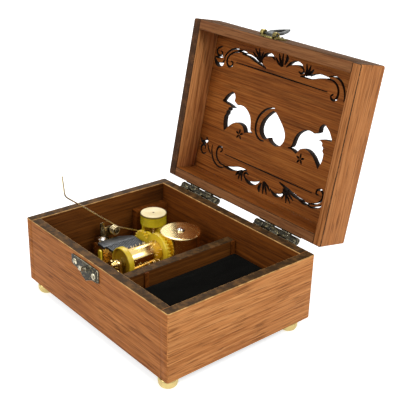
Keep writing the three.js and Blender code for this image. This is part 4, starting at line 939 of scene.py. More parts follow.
BAND = (
    Stroke(1.1, ((-49.4, -32), (-51.8, -30.9), (-52.9, -28.9), (-51.6, -27), (-49.2, -26.9), (-48.1, -28.4),
                 (-49.4, -29.5))),
    Stroke(2.3, ((-53.6, -24.8), (-52.4, -22.9), (-50.1, -21.8), (-47.3, -22.5), (-45.9, -24.6)), 0.3),
    Stroke(1, ((-53.5, -25.6), (-50.6, -25.7), (-47.4, -26.6))),
    Stroke(0.9, ((-45.3, -25.1), (-45.7, -27), (-44.3, -29.4), (-41.4, -31.8), (-37.7, -33.1), (-34.7, -32.9))),
    Stroke(1.1, ((-35.2, -31.9), (-39.3, -30.7), (-42.3, -28.5), (-43.5, -26.1), (-42.9, -23.7), (-40.9, -22.5),
                 (-38.9, -23.6), (-38.7, -25.3), (-40.2, -25.6))),
    Stroke(1.5, ((-36.2, -32.2), (-32.3, -32.7), (-28.2, -32.3)), 0.2),
    Stroke(1.9, ((-32.2, -31.4), (-27, -31.6), (-22.2, -30.4), (-17.5, -29.1), (-13, -27.8)), 0.25),
    Stroke(1.1, ((-24.6, -34), (-21.3, -32), (-17.6, -29.8)), 0.3),
    Stroke(1.2, ((-23, -36), (-20, -33), (-17.1, -30.1)), 0.3),
    Stroke(1.2, ((-20.1, -36.7), (-19.1, -33.2), (-16.5, -30.4)), 0.3),
    Stroke(1.1, ((-16.7, -35.6), (-17.5, -32.7), (-16.2, -30)), 0.3),
    Stroke(1.8, ((-16.9, -31.6), (-15.6, -33.9), (-12.7, -35.2), (-10, -35), (-7.3, -33.3)), 0.2),
    Stroke(1.2, ((-7.2, -34.6), (-4.9, -32.6), (-2.1, -31)), 0.3),
    Stroke(1.3, ((-5.2, -37), (-3.7, -34), (-1.6, -31.2)), 0.3),
    Stroke(1.2, ((-2.5, -37.6), (-2, -34.3), (-1.1, -31.4)), 0.3),
    Stroke(1.9, ((0.4, -37.5), (1, -35.5), (0, -32.5)), 0.3),
    Stroke(2, ((1.5, -31.7), (3.9, -33.7), (7.5, -35), (11.1, -34.6), (13.2, -33)), 0.2),
    Stroke(1.1, ((13, -33.6), (13.9, -32), (12.6, -30.6), (10.7, -31.1))),
    Stroke(1.2, ((14.9, -35.9), (15.7, -33.2), (14.9, -30.5)), 0.3),
    Stroke(1.3, ((17.8, -35.7), (17.3, -33), (15.6, -30.5)), 0.3),
    Stroke(1.5, ((20.2, -34.2), (18.8, -32.4), (16.1, -30.3)), 0.3),
    Stroke(2.4, ((12.4, -29.2), (18.5, -30.2), (24.6, -32), (31.2, -32.5)), 0.15),
    Stroke(1.1, ((30.4, -31.9), (33.9, -31.8), (36.9, -30.2), (38.5, -27.8), (38.6, -24.8), (37.3, -22.8),
                 (35.3, -22.9), (34.5, -24.3), (35.7, -25.4))),
    Stroke(1, ((31, -33.4), (35, -34), (39, -32.6), (41.8, -29.4), (43, -26.2), (43.1, -23.6)), 0.3),
    Stroke(2, ((53.4, -22.2), (52.3, -23.7), (50.1, -23.7), (48.2, -22.4), (48.9, -20.6)), 0.3),
    Stroke(1, ((47.5, -29.4), (49.6, -30.4), (51.6, -29.3), (52.1, -27), (50.5, -25.3), (48.8, -25.7), (48.7, -27.2))),
    Stroke(0.9, ((47.6, -23.2), (46, -26.3), (43.6, -28.8)), 0.3),
    Stroke(0.5, ((-35.7, -25.9), (-2, -25.8), (31.6, -25.7))),
)
CRESCENT = Stroke(1.2, ((-1.1, -8.9), (-4.6, -8), (-8, -5.8), (-11, -2.1), (-12.2, 2.2), (-11.7, 5.9), (-9.9, 8.7),
                        (-7, 10.1), (-4.4, 10)), 0.4)


@dataclass
class FrettedBoard:
    """The lid's board, sawn through with a heart, two birds, two flowers and two bands of scrolls."""

    bench: Bench
    flare: float = 0.26
    flare_depth: float = 0.4
    flower: Spot = (23.4, 11.6)
    petals: int = 5
    petal_reach: Spot = (0.6, 2.7)
    petal_steps: tuple[float, ...] = (0, 0.35, 0.7, 1)
    petal_width: float = 1
    petal_ends: float = 0.35
    face_limit: float = 0.9

    def petal(self, hand: int, number: int) -> Stroke:
        """Draws one petal.

        Args:
            hand: 1 for the right flower, -1 for the left.
            number: the petal's number.

        Returns:
            The petal.
        """
        angle = math.radians(360 / self.petals * number - 90)
        ray = Vector((math.cos(angle), math.sin(angle)))
        middle = Vector((hand * self.flower[0], self.flower[1]))
        near, far = self.petal_reach
        spots = [middle + ray * (near + (far - near) * t) for t in self.petal_steps]
        return Stroke(self.petal_width, tuple((spot.x, spot.y) for spot in spots), self.petal_ends)

    def cutters(self, low: float, high: float) -> BMesh:
        """Makes all the cutters, each a little wider where it meets a face.

        Args:
            low: the board's lower face in millimetres.
            high: its upper face.

        Returns:
            Their mesh, in the closed lid's millimetres.
        """
        cuts = []
        for hand in (1, -1):
            cuts.append((BIRD, (hand, 1)))
            cuts += [(stroke, (hand, hand)) for stroke in BAND]
            cuts += [(self.petal(hand, number), (1, 1)) for number in range(self.petals)]
        cuts += [(HEART, (1, 1)), (CRESCENT, (1, 1))]
        deep = self.flare_depth
        levels = ((low - deep, 2 * self.flare), (low + deep, 0), (high - deep, 0), (high + deep, 2 * self.flare))
        made = bmesh.new()
        for shape, hands in cuts:
            flip = Vector(hands)
            rings = [[made.verts.new((*(point * flip), height)) for point in shape.outline(grow)]
                     for height, grow in levels]
            for lower, upper in zip(rings, rings[1:]):
                for i in range(len(lower)):
                    j = (i + 1) % len(lower)
                    made.faces.new((lower[i], lower[j], upper[j], upper[i]))
            made.faces.new(rings[0][::-1])
            made.faces.new(rings[-1])
        bmesh.ops.recalc_face_normals(made, faces=made.faces)
        return made

    def sawn(self, slab: BMesh, cutters: BMesh) -> BMesh:
        """Saws a slab.

        Args:
            slab: the slab, which is freed.
            cutters: what is taken out of it, which is freed.

        Returns:
            The sawn board.
        """
        board, tools = as_object("board", slab), as_object("cutters", cutters)
        saw = board.modifiers.new("sawn", "BOOLEAN")
        saw.operation = "DIFFERENCE"
        saw.solver = "EXACT"
        saw.use_self = True
        saw.object = tools
        mesh = bpy.data.meshes.new_from_object(board.evaluated_get(bpy.context.evaluated_depsgraph_get()))
        made = bmesh.new()
        made.from_mesh(mesh)
        for spare in (board, tools):
            bpy.data.objects.remove(spare)
        bpy.data.meshes.remove(mesh)
        return made

    def build(self) -> None:
        """Saws and dresses the board."""
        millimetres = Matrix.Diagonal((1000, 1000, 1000, 1))
        unshifted = Matrix.Translation((0, -FOOTPRINT_SHIFT * MM, 0))
        closed = millimetres @ unshifted @ lid_matrix().inverted()
        points = [closed @ vert.co for vert in self.bench.mesh_of("lid_panel").vertices]
        low, high = (Vector([pick(point[i] for point in points) for i in range(3)]) for pick in (min, max))
        slab = bmesh.new()
        size = Matrix.Diagonal((*(high - low), 1))
        bmesh.ops.create_cube(slab, size=1, matrix=Matrix.Translation((low + high) / 2) @ size)
        made = self.sawn(slab, self.cutters(low.z, high.z))
        made.transform(closed.inverted())
        made.normal_update()
        up = opened((0, 0, 1))
        look = Look("fretted_board", "lid", "lid_panel_wood", (Finish.SAWN_EDGE, Finish.PANEL), ("lid_panel",),
                    lambda face: int(abs(face.normal.dot(up)) > self.face_limit))
        self.bench.hand_over(made, look)


@dataclass
class Boards:
    """Boards glued at their ends, each side with its own finish."""

    bench: Bench
    edge_softness: float = 0.32
    edge_faces: int = 3

    def board(self, node: str, body: str, out: Vector, rim: Vector, finishes: tuple[Finish, ...], edge: Finish) -> None:
        """Dresses one wall.

        Args:
            node: the wall's node.
            body: the body that it rides on.
            out: the way that its outer face looks.
            rim: the way that its rim looks.
            finishes: the finishes outside, inside, on the rim and on the ends.
            edge: the finish of its soft edges.
        """
        across = out.cross(rim)
        between = abs(out.x) < LOOKS_ALONG
        under = Side.RIM if body == "base" else Side.OUTER
        pick = facing((out, Side.OUTER), (-out, Side.INNER), (rim, Side.RIM), (-rim, under), (across, Side.END),
                      (-across, Side.END))
        look = Look(node + "_board", body, "oak_brown_wood", finishes, (node,), pick, self.edge_softness,
                    self.edge_faces, edge, joint=glued_ends(None if between else Side.INNER))
        self.bench.hand_over(self.bench.copy_of(node), look)


@dataclass
class WoodenBase(Boards):
    """Walls, floor, divider and glue blocks of the box."""

    divider_softness: float = 0.3
    floor_softness: float = 0.1
    block_softness: float = 0.2

    def build(self) -> None:
        """Builds and dresses the wooden base."""
        # The front and back walls and every wall's ends take the darker front boards, which are painted shade.
        for side, out, outer, inner in (("left", -RIGHT, Finish.SIDE_BOARDS, Finish.INNER_SIDE),
                                        ("right", RIGHT, Finish.SIDE_BOARDS, Finish.INNER_SIDE),
                                        ("front", -BACK, Finish.FRONT_BOARDS, Finish.INNER),
                                        ("back", BACK, Finish.FRONT_BOARDS, Finish.INNER)):
            # inner: the dark inner boards, painted shade inside the box.
            finishes = (outer, inner, Finish.RIM, Finish.FRONT_BOARDS)
            self.board("base_wall_" + side, "base", out, UP, finishes, Finish.WORN_EDGE)
        # The floor board is painted near black: painted shade at the bottom of the box.
        self.bench.trim("floor_panel", "base", "inner_wood", Finish.FLOOR, self.floor_softness)
        divider = Look("divider_board", "base", "inner_wood", (Finish.INNER_SIDE, Finish.RIM), ("divider",),
                       facing((UP, 1)), self.divider_softness, self.edge_faces, Finish.DARK_EDGE)
        self.bench.hand_over(self.bench.copy_of("divider"), divider)
        # The glue blocks inside the box take the inner boards' painted shade.
        for node in ("batten_front", "batten_rear", "corner_block"):
            self.bench.trim(node, "base", "inner_wood", Finish.INNER, self.block_softness)


@dataclass
class Feet:
    """Four turned brass feet."""

    bench: Bench
    profile: Profile = ((0, 0), (3.1, 0), (3.6, 0.12), (4.15, 0.6), (4.55, 1.5), (4.72, 2.6), (4.75, 3.5), (4.6, 4.1),
                        (4.3, 4.5), (0, 4.5))
    steps: int = 72

    def build(self) -> None:
        """Builds and dresses the feet."""
        for corner in ("front_left", "front_right", "rear_left", "rear_right"):
            node = "foot_" + corner
            foot = bmesh.new()
            Turning(self.profile, self.steps).add(foot, end_of(node, -UP), UP)
            look = Look("turned_" + node, "base", "foot_brass", (Finish.FOOT_BRASS,), (node,), crease=50)
            self.bench.hand_over(foot, look)


@dataclass
class WoodenLid(Boards):
    """The lid's walls and its fretted board."""

    def build(self) -> None:
        """Builds and dresses the lid."""
        # The front wall and the ends of all lid walls take the darker front boards, which are painted shade.
        sides, shaded_fronts = Finish.LID_SIDE_BOARDS, Finish.LID_FRONT_BOARDS
        for side, out, *finishes in (("left", (-1, 0, 0), sides, Finish.LID_INNER, Finish.LID_LEFT_RIM),
                                     ("right", (1, 0, 0), sides, Finish.LID_INNER, sides),
                                     ("front", (0, -1, 0), shaded_fronts, Finish.PANEL, Finish.LID_RIM),
                                     ("back", (0, 1, 0), Finish.LID_BACK_BOARDS, Finish.PANEL, Finish.LID_RIM)):
            self.board("lid_wall_" + side, "lid", opened(out), opened((0, 0, -1)), (*finishes, shaded_fronts),
                       Finish.DARK_EDGE)
        FrettedBoard(self.bench).build()


@dataclass
class Screws:
    """Small slotted screws, each standing in its node's place."""

    bench: Bench
    head_share: float = 0.9
    shank_share: float = 0.42
    shank_length: float = 2.4
    shank_tip: float = 2.8
    shank_steps: int = 20

    def seat_of(self, node: str, out: Vector, height: float) -> Vector:
        """Finds where a screw's head sits.

        Args:
            node: the screw's node.
            out: the way that its head looks.
            height: the head's height in millimetres.

        Returns:
            The middle of the head's underside.
        """
        points = [vert.co for vert in self.bench.mesh_of(node).vertices]
        tip = max(point.dot(out) for point in points)
        least = tip - self.head_share * height * MM
        spots = {tuple(round(c, 6) for c in point): point for point in points if point.dot(out) > least}
        middle = sum((point - out * point.dot(out) for point in spots.values()), Vector())
        return middle / len(spots) + out * (tip - height * MM)

    def add(self, node: str, body: str, out: Vector, head: ScrewHead, finish: Finish, slot: str, turn: float) -> None:
        """Builds one screw's head in its node's place.

        Args:
            node: the screw's node.
            body: the body that it rides on.
            out: the way that its head looks.
            head: the head's shape.
            finish: its finish.
            slot: the record's slot.
            turn: the turn of its sawn slot in degrees.
        """
        made = bmesh.new()
        seat = self.seat_of(node, out, head.height)
        head.add(made, seat, out, turn)
        radius = self.shank_share * head.radius
        shank = ((0, 0), (radius, 0), (radius, self.shank_length), (0, self.shank_tip))
        Turning(shank, self.shank_steps).add(made, seat, -out)
        self.bench.hand_over(made, Look(node + "_slotted", body, slot, (finish,), (node,), crease=38))


@dataclass
class Hardware:
    """Hinges, catch, hasp bracket and hasp loop in dark bronze.

    Attributes:
        hinge_screw_places: where a leaf's screws stand along it.
        leaf_face: how far back the leaves' outer face lies with the lid closed.
        base_screws: the height of a base leaf's screws, their first turn and the turn from one to the next.
        lid_screws: the same for a lid leaf, with the lid closed.
        plate_thickness: the catch plate without its hook.
    """

    bench: Bench
    screw: ScrewHead = ScrewHead(1.7, 0.6, 0.5)
    hinge_screw: ScrewHead = ScrewHead(1.35, 0.45, 0.4, 20)
    hinge_screw_places: Triple = (-11, 0, 11)
    leaf_face: float = 45.8
    base_screws: Triple = (35.4, 25, 50)
    lid_screws: Triple = (45.1, 70, -35)
    plate_thickness: float = 1.5
    leaf_softness: float = 0.14
    bracket_softness: float = 0.2
    plate_softness: float = 0.22
    loop_softness: float = 0.32

    def bronze(self, node: str, body: str, softness: float, finish: Finish = Finish.BRONZE) -> None:
        """Trims one bronze fitting, its edges rubbed bright."""
        look = Look(node + "_worn", body, "antique_bronze", (finish,), (node,), bevel=softness,
                    edge=Finish.RUBBED_BRONZE, crease=40)
        self.bench.hand_over(self.bench.copy_of(node), look)

    def hinge(self, side: str) -> None:
        """Builds one hinge.

        Args:
            side: left or right.
        """
        for body in ("base", "lid"):
            self.bronze(f"hinge_{side}_{body}_leaf", body, self.leaf_softness)
        self.bench.dress(Finish.BRONZE, f"hinge_{side}_pin")
        low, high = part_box(f"hinge_{side}_base_leaf")
        middle = (low.x + high.x) / 2 / MM
        for body, carry, (height, first, step) in (("base", Matrix(), self.base_screws),
                                                   ("lid", lid_matrix(), self.lid_screws)):
            made = bmesh.new()
            for number, along in enumerate(self.hinge_screw_places):
                seat = carry @ place(middle + along, self.leaf_face, height)
                self.hinge_screw.add(made, seat, carry.to_3x3() @ BACK, first + step * number)
            self.bench.hand_over(made, Look(f"hinge_{side}_{body}_screws", body, "antique_bronze",
                                            (Finish.RUBBED_BRONZE,), crease=38))

    def build(self) -> None:
        """Builds and dresses all the bronze."""
        self.hinge("left")
        self.hinge("right")
        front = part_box("catch_plate")[1].y - self.plate_thickness * MM
        plate = Look("catch_plate_worn", "base", "antique_bronze", (Finish.BRONZE, Finish.RUBBED_BRONZE),
                     ("catch_plate",), lambda face: int(face.calc_center_median().y < front), self.plate_softness,
                     edge=Finish.RUBBED_BRONZE, crease=40)
        self.bench.hand_over(self.bench.copy_of("catch_plate"), plate)
        self.bronze("hasp_bracket", "lid", self.bracket_softness, Finish.OLIVE_BRONZE)
        self.bench.trim("hasp_loop", "hasp", "antique_bronze", Finish.GREY_STEEL, self.loop_softness)
        screws = Screws(self.bench)
        for number in (1, 2):
            for kind, body, out, turn in (("catch", "base", -BACK, 35), ("hasp", "lid", opened((0, -1, 0)), 50)):
                screws.add(f"{kind}_screw_{number}", body, out, self.screw, Finish.RUBBED_BRONZE, "antique_bronze",
                           turn * number)


@dataclass
class PinnedCylinder:
    """The brass cylinder with its pins, front flange, gear and shaft.

    Attributes:
        pin_root: how deep a pin stands in the barrel.
        pin_taper: the share of a pin's radius that is left at its tip.
        pin_scatter: how far a pin may stand past its even place, in shares of the way to the next.
        margin: the bare length at each end of the barrel.
        seed: what the places of the pins are drawn from.
    """

    bench: Bench
    pin_rows: int = 18
    pins_in_a_row: int = 4
    pin_radius: float = 0.2
    pin_length: float = 0.9
    pin_root: float = 0.2
    pin_taper: float = 0.72
    pin_sides: int = 6
    pin_scatter: float = 0.7
    margin: float = 0.3
    seed: int = 18
    chamfer: float = 0.25
    flange: Profile = ((0.85, 0), (7.7, 0), (8, 0.3), (8, 2.95), (7.8, 3.2), (7.4, 3.2), (7.15, 3), (6.9, 2),
                       (2.6, 1.9), (2.4, 2.9), (0.85, 2.9), (0.85, 0))
    sunk_radius: float = 7.3
    sunk_slope: float = 0.2
    steps: int = 96

    def barrel(self) -> None:
        """Builds the cylinder and its pins."""
        low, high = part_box("pin_cylinder")
        radius = (high.x - low.x) / 2 / MM - self.pin_length
        length = (high.y - low.y) / MM
        cut = self.chamfer
        profile = ((0, 0), (radius - cut, 0), (radius, cut), (radius, length - cut), (radius - cut, length),
                   (0, length))
        made = bmesh.new()
        foot = end_of("pin_cylinder", -BACK)
        Turning(profile, self.steps).add(made, foot, BACK)
        self.bench.hand_over(made, Look("turned_barrel", "cylinder", "gilt_metal", (Finish.CYLINDER_BRASS,),
                                        ("pin_cylinder",), crease=50))
        self.pins(foot, radius, length)

    def pins(self, foot: Vector, radius: float, length: float) -> None:
        """Sets the pins in their rows.

        Args:
            foot: the middle of the barrel's front end.
            radius: the barrel's radius in millimetres.
            length: its length in millimetres.
        """
        pin = bmesh.new()
        tall = self.pin_length + self.pin_root
        bmesh.ops.create_cone(pin, cap_ends=True, segments=self.pin_sides, radius1=self.pin_radius * MM,
                              radius2=self.pin_taper * self.pin_radius * MM, depth=tall * MM,
                              matrix=Matrix.Translation((0, 0, tall / 2 * MM)))
        made = bmesh.new()
        tune = random.Random(self.seed)
        pitch = (length - 2 * self.margin) / self.pin_rows
        for row in range(self.pin_rows):
            along = self.margin + pitch * (row + 0.5)
            first = tune.random() * 360
            for number in range(self.pins_in_a_row):
                angle = math.radians(first + 360 * (number + self.pin_scatter * tune.random()) / self.pins_in_a_row)
                out = Vector((math.cos(angle), 0, math.sin(angle)))
                stamp(pin, made, aim(foot + BACK * along * MM + out * (radius - self.pin_root) * MM, out))
        pin.free()
        self.bench.hand_over(made, Look("cylinder_pins", "cylinder", "gilt_metal", (Finish.PIN_BRASS,), crease=50))

    def front_flange(self) -> None:
        """Builds the flange, its sunk front in a darker amber that is painted shade."""
        made = bmesh.new()
        Turning(self.flange, self.steps).add(made, end_of("cylinder_front_flange", BACK), -BACK)
        low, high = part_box("cylinder_front_flange")
        middle = (low + high) / 2

        def sunk(face: BMFace) -> int:
            """Returns: 1 for the sunk front, which takes the painted shade, or else 0."""
            spot = face.calc_center_median() - middle
            return int(math.hypot(spot.x, spot.z) < self.sunk_radius * MM and face.normal.y < self.sunk_slope)

        self.bench.hand_over(made, Look("moulded_flange", "cylinder", "yellow_plastic", (Finish.YELLOW, Finish.AMBER),
                                        ("cylinder_front_flange",), sunk, bevel=0.15, crease=28))

    def build(self) -> None:
        """Builds and dresses the cylinder's own pieces."""
        self.barrel()
        self.front_flange()
        self.bench.trim("cylinder_gear", "cylinder", "yellow_plastic", Finish.YELLOW, bevel=0.12)
        self.bench.trim("cylinder_shaft", "cylinder", "bright_steel", Finish.GILT, bevel=0.15)


@dataclass
class SpringMotor:
    """Spring housing, great wheel, arbor and key."""

    bench: Bench
    ear_screw: ScrewHead = ScrewHead(1.8, 1.2, 0.6)
    top_screw: ScrewHead = ScrewHead(1.5, 0.7, 0.5, 36)
    top_turn: float = 42
    ear_turns: Spot = (20, 65)

    def build(self) -> None:
        """Builds and dresses the motor."""
        housing = Look("polished_housing", "base", "gilt_metal", (Finish.MIRROR_GILT,), ("spring_housing",),
                       bevel=0.12, crease=40, flat=True)
        self.bench.hand_over(self.bench.copy_of("spring_housing"), housing)
        self.bench.dress(Finish.COMB_STEEL, "mainspring")
        screws = Screws(self.bench)
        first, step = self.ear_turns
        for number in (1, 2):
            screws.add(f"housing_screw_{number}", "base", UP, self.ear_screw, Finish.BRIGHT_STEEL, "bright_steel",
                       first + step * number)
        self.bench.trim("great_wheel", "great_wheel", "gilt_metal", Finish.GEAR_BRASS, bevel=0.08)
        arbor = self.bench.copy_of("winding_arbor")
        self.top_screw.add(arbor, end_of("winding_arbor", UP), UP, self.top_turn)
        self.bench.hand_over(arbor, Look("slotted_arbor", "winding", "bright_steel", (Finish.BRIGHT_STEEL,),
                                         ("winding_arbor",), crease=38))
        self.bench.trim("winding_key", "winding", "gilt_metal", Finish.GILT, bevel=0.25)


@dataclass
class Governor:
    """Idler, worm wheel, worm, drum and their yellow frame.

    Attributes:
        rim: the height at which the drum's darker rim begins.
        wall_radii: the inner and outer radius of the wall that shields the worm.
        wall_span: the angles between which that wall stands, in degrees.
        wall_gap: what is left between its top and the drum.
        disc_seat: the height of the disc on the drum.
        dot_seat: the height of the dark spot in its middle, which is painted shade for the hole there.
    """

    bench: Bench
    drum: Profile = ((0, 0), (6.9, 0), (7.2, 0.3), (7.2, 5.4), (7.35, 5.55), (7.35, 6.2), (7.25, 6.3), (7, 6.3),
                     (6.95, 6.15), (0, 6.15))
    rim: float = 5.45
    disc: Profile = ((0, 0), (6.9, 0), (6.9, 0.25), (6.8, 0.34), (0.75, 0.34), (0.6, 0.25), (0.6, 0))
    disc_seat: float = 6.14
    dot: Profile = ((0, 0), (0.58, 0), (0.58, 0.12), (0.4, 0.2), (0, 0.2))
    dot_seat: float = 6.2
    dot_steps: int = 32
    steps: int = 96
    wall_radii: Spot = (5.2, 6.5)
    wall_span: Spot = (185, 262)
    wall_gap: float = 0.5
    wall_steps: int = 24

    def turned(self, shape: Turning, seat: Vector, look: Look) -> None:
        """Turns one piece of the drum and hands it over."""
        made = bmesh.new()
        shape.add(made, seat, UP)
        self.bench.hand_over(made, look)

    def case(self, foot: Vector) -> None:
        """Builds the frame with the curved wall that shields the worm.

        Args:
            foot: the middle of the drum's underside.
        """
        low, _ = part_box("governor_frame")
        made = self.bench.copy_of("governor_frame")
        inner, outer = self.wall_radii
        base, top = low.z / MM, foot.z / MM - self.wall_gap
        start, end = self.wall_span
        part = bmesh.new()
        rings = []
        for step in range(self.wall_steps + 1):
            turn = Matrix.Rotation(math.radians(start + (end - start) * step / self.wall_steps), 3, "Z")
            rings.append([part.verts.new(turn @ Vector((r, 0, z)) * MM)
                          for r, z in ((inner, base), (outer, base), (outer, top), (inner, top))])
        for a, b in zip(rings, rings[1:]):
            for i in range(4):
                part.faces.new((a[i], a[i - 1], b[i - 1], b[i]))
        part.faces.new(rings[0])
        part.faces.new(rings[-1][::-1])
        bmesh.ops.recalc_face_normals(part, faces=part.faces)
        stamp(part, made, Matrix.Translation((foot.x, foot.y, 0)))
        part.free()
        self.bench.hand_over(made, Look("moulded_frame", "base", "yellow_plastic", (Finish.YELLOW,),
                                        ("governor_frame",), bevel=0.25, segments=3))

    def build(self) -> None:
        """Builds and dresses the governor and what drives it."""
        foot = end_of("governor_drum", -UP)
        rim = foot.z + self.rim * MM
        self.turned(Turning(self.drum, self.steps), foot,
                    Look("moulded_drum", "governor", "yellow_plastic", (Finish.DRUM, Finish.OCHRE), ("governor_drum",),
                         lambda face: int(face.calc_center_median().z > rim), crease=40))
        self.turned(Turning(self.disc, self.steps), foot + UP * self.disc_seat * MM,
                    Look("drum_top_disc", "governor", "cream_plastic", (Finish.CREAM,), crease=40))
        # The dark dot in the disc's middle is painted shade for the hole there.
        self.turned(Turning(self.dot, self.dot_steps), foot + UP * self.dot_seat * MM,
                    Look("drum_centre", "governor", "cream_plastic", (Finish.DARK_HOLLOW,), crease=40))
        self.bench.trim("governor_worm", "governor", "gilt_metal", Finish.GILT, bevel=0.05)
        self.case(foot)
        self.bench.trim("idler_gear", "idler", "yellow_plastic", Finish.YELLOW, bevel=0.1)
        self.bench.trim("worm_wheel", "idler", "yellow_plastic", Finish.YELLOW, bevel=0.08)
        self.bench.trim("idler_arbor", "idler", "bright_steel", Finish.BRIGHT_STEEL, bevel=0.1)


@dataclass
class CombAndBed:
    """Bedplate, comb and the screws that hold them.

    Attributes:
        cap: the stepped cap on the front bearing.
        rivets: each rivet's place beside and above the shaft, and its size.
        tab: the width, depth and height of the yellow tab at the bed's front edge.
        tab_place: how far right it stands, and how far behind that edge.
    """

    bench: Bench
    comb_screw: ScrewHead = ScrewHead(1.9, 1.4, 0.6)
    mount_screw: ScrewHead = ScrewHead(2.6, 1.4, 0.8)
    cap: Profile = ((0.95, 0), (2.3, 0), (2.3, 0.7), (1.75, 0.8), (1.75, 1.5), (1.25, 1.6), (1.25, 2.3), (1.05, 2.5),
                    (0.95, 2.5), (0.95, 0))
    cap_steps: int = 48
    rivet: Profile = ((0, 0), (1, 0), (1, 0.25), (0.85, 0.55), (0.55, 0.8), (0, 0.9))
    rivet_steps: int = 32
    rivets: tuple[Triple, ...] = ((-3.4, 0.2, 1.1), (2.1, -3.3, 1.15), (2.2, -6.2, 1.25))
    tab: Triple = (2.4, 1.2, 12.4)
    tab_place: Spot = (-33.4, 1.2)
    tab_round: float = 0.9
    bed_thickness: float = 1.5

    def bearing(self) -> None:
        """Builds the stepped cap and the rivets on the front bearing."""
        shaft = end_of("cylinder_shaft", BACK)
        shaft.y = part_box("bedplate")[0].y
        made = bmesh.new()
        Turning(self.cap, self.cap_steps).add(made, shaft, -BACK)
        for x, z, size in self.rivets:
            rivet = Turning(tuple((r * size, h * size) for r, h in self.rivet), self.rivet_steps)
            rivet.add(made, shaft + Vector((x, 0, z)) * MM, -BACK)
        self.bench.hand_over(made, Look("bearing_cap", "base", "gilt_metal", (Finish.GILT,), bevel=0.08, crease=40))

    def upright(self) -> None:
        """Builds the yellow tab that stands at the bed's front edge."""
        low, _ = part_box("bedplate")
        x, behind = self.tab_place
        foot = Vector((x * MM, low.y + behind * MM, low.z + self.bed_thickness * MM))
        width, depth, height = (size * MM for size in self.tab)
        made = bmesh.new()
        bmesh.ops.create_cube(made, size=1, matrix=Matrix.Translation(foot + UP * height / 2)
                              @ Matrix.Diagonal((width, depth, height, 1)))
        top = [e for e in made.edges if all(v.co.z > foot.z + height / 2 for v in e.verts)
               and abs(e.verts[0].co.y - e.verts[1].co.y) > depth / 2]
        bmesh.ops.bevel(made, geom=top, offset=self.tab_round * MM, offset_type="OFFSET", segments=5, profile=0.5,
                        affect="EDGES", material=-1)
        self.bench.hand_over(made, Look("bed_tab", "base", "yellow_plastic", (Finish.YELLOW,), bevel=0.12, crease=40))

    def build(self) -> None:
        """Builds and dresses the fixed metal of the movement."""
        self.bearing()
        self.upright()
        self.bench.trim("bedplate", "base", "gilt_metal", Finish.GILT, bevel=0.2)
        self.bench.trim("comb", "base", "comb_steel", Finish.COMB_STEEL, bevel=0.07)
        screws = Screws(self.bench)
        for kind, out, head, turn, count in (("comb", UP, self.comb_screw, 40, 2),
                                             ("mounting", -UP, self.mount_screw, 30, 3)):
            for number in range(1, count + 1):
                screws.add(f"{kind}_screw_{number}", "base", out, head, Finish.BRIGHT_STEEL, "bright_steel",
                           turn * number)


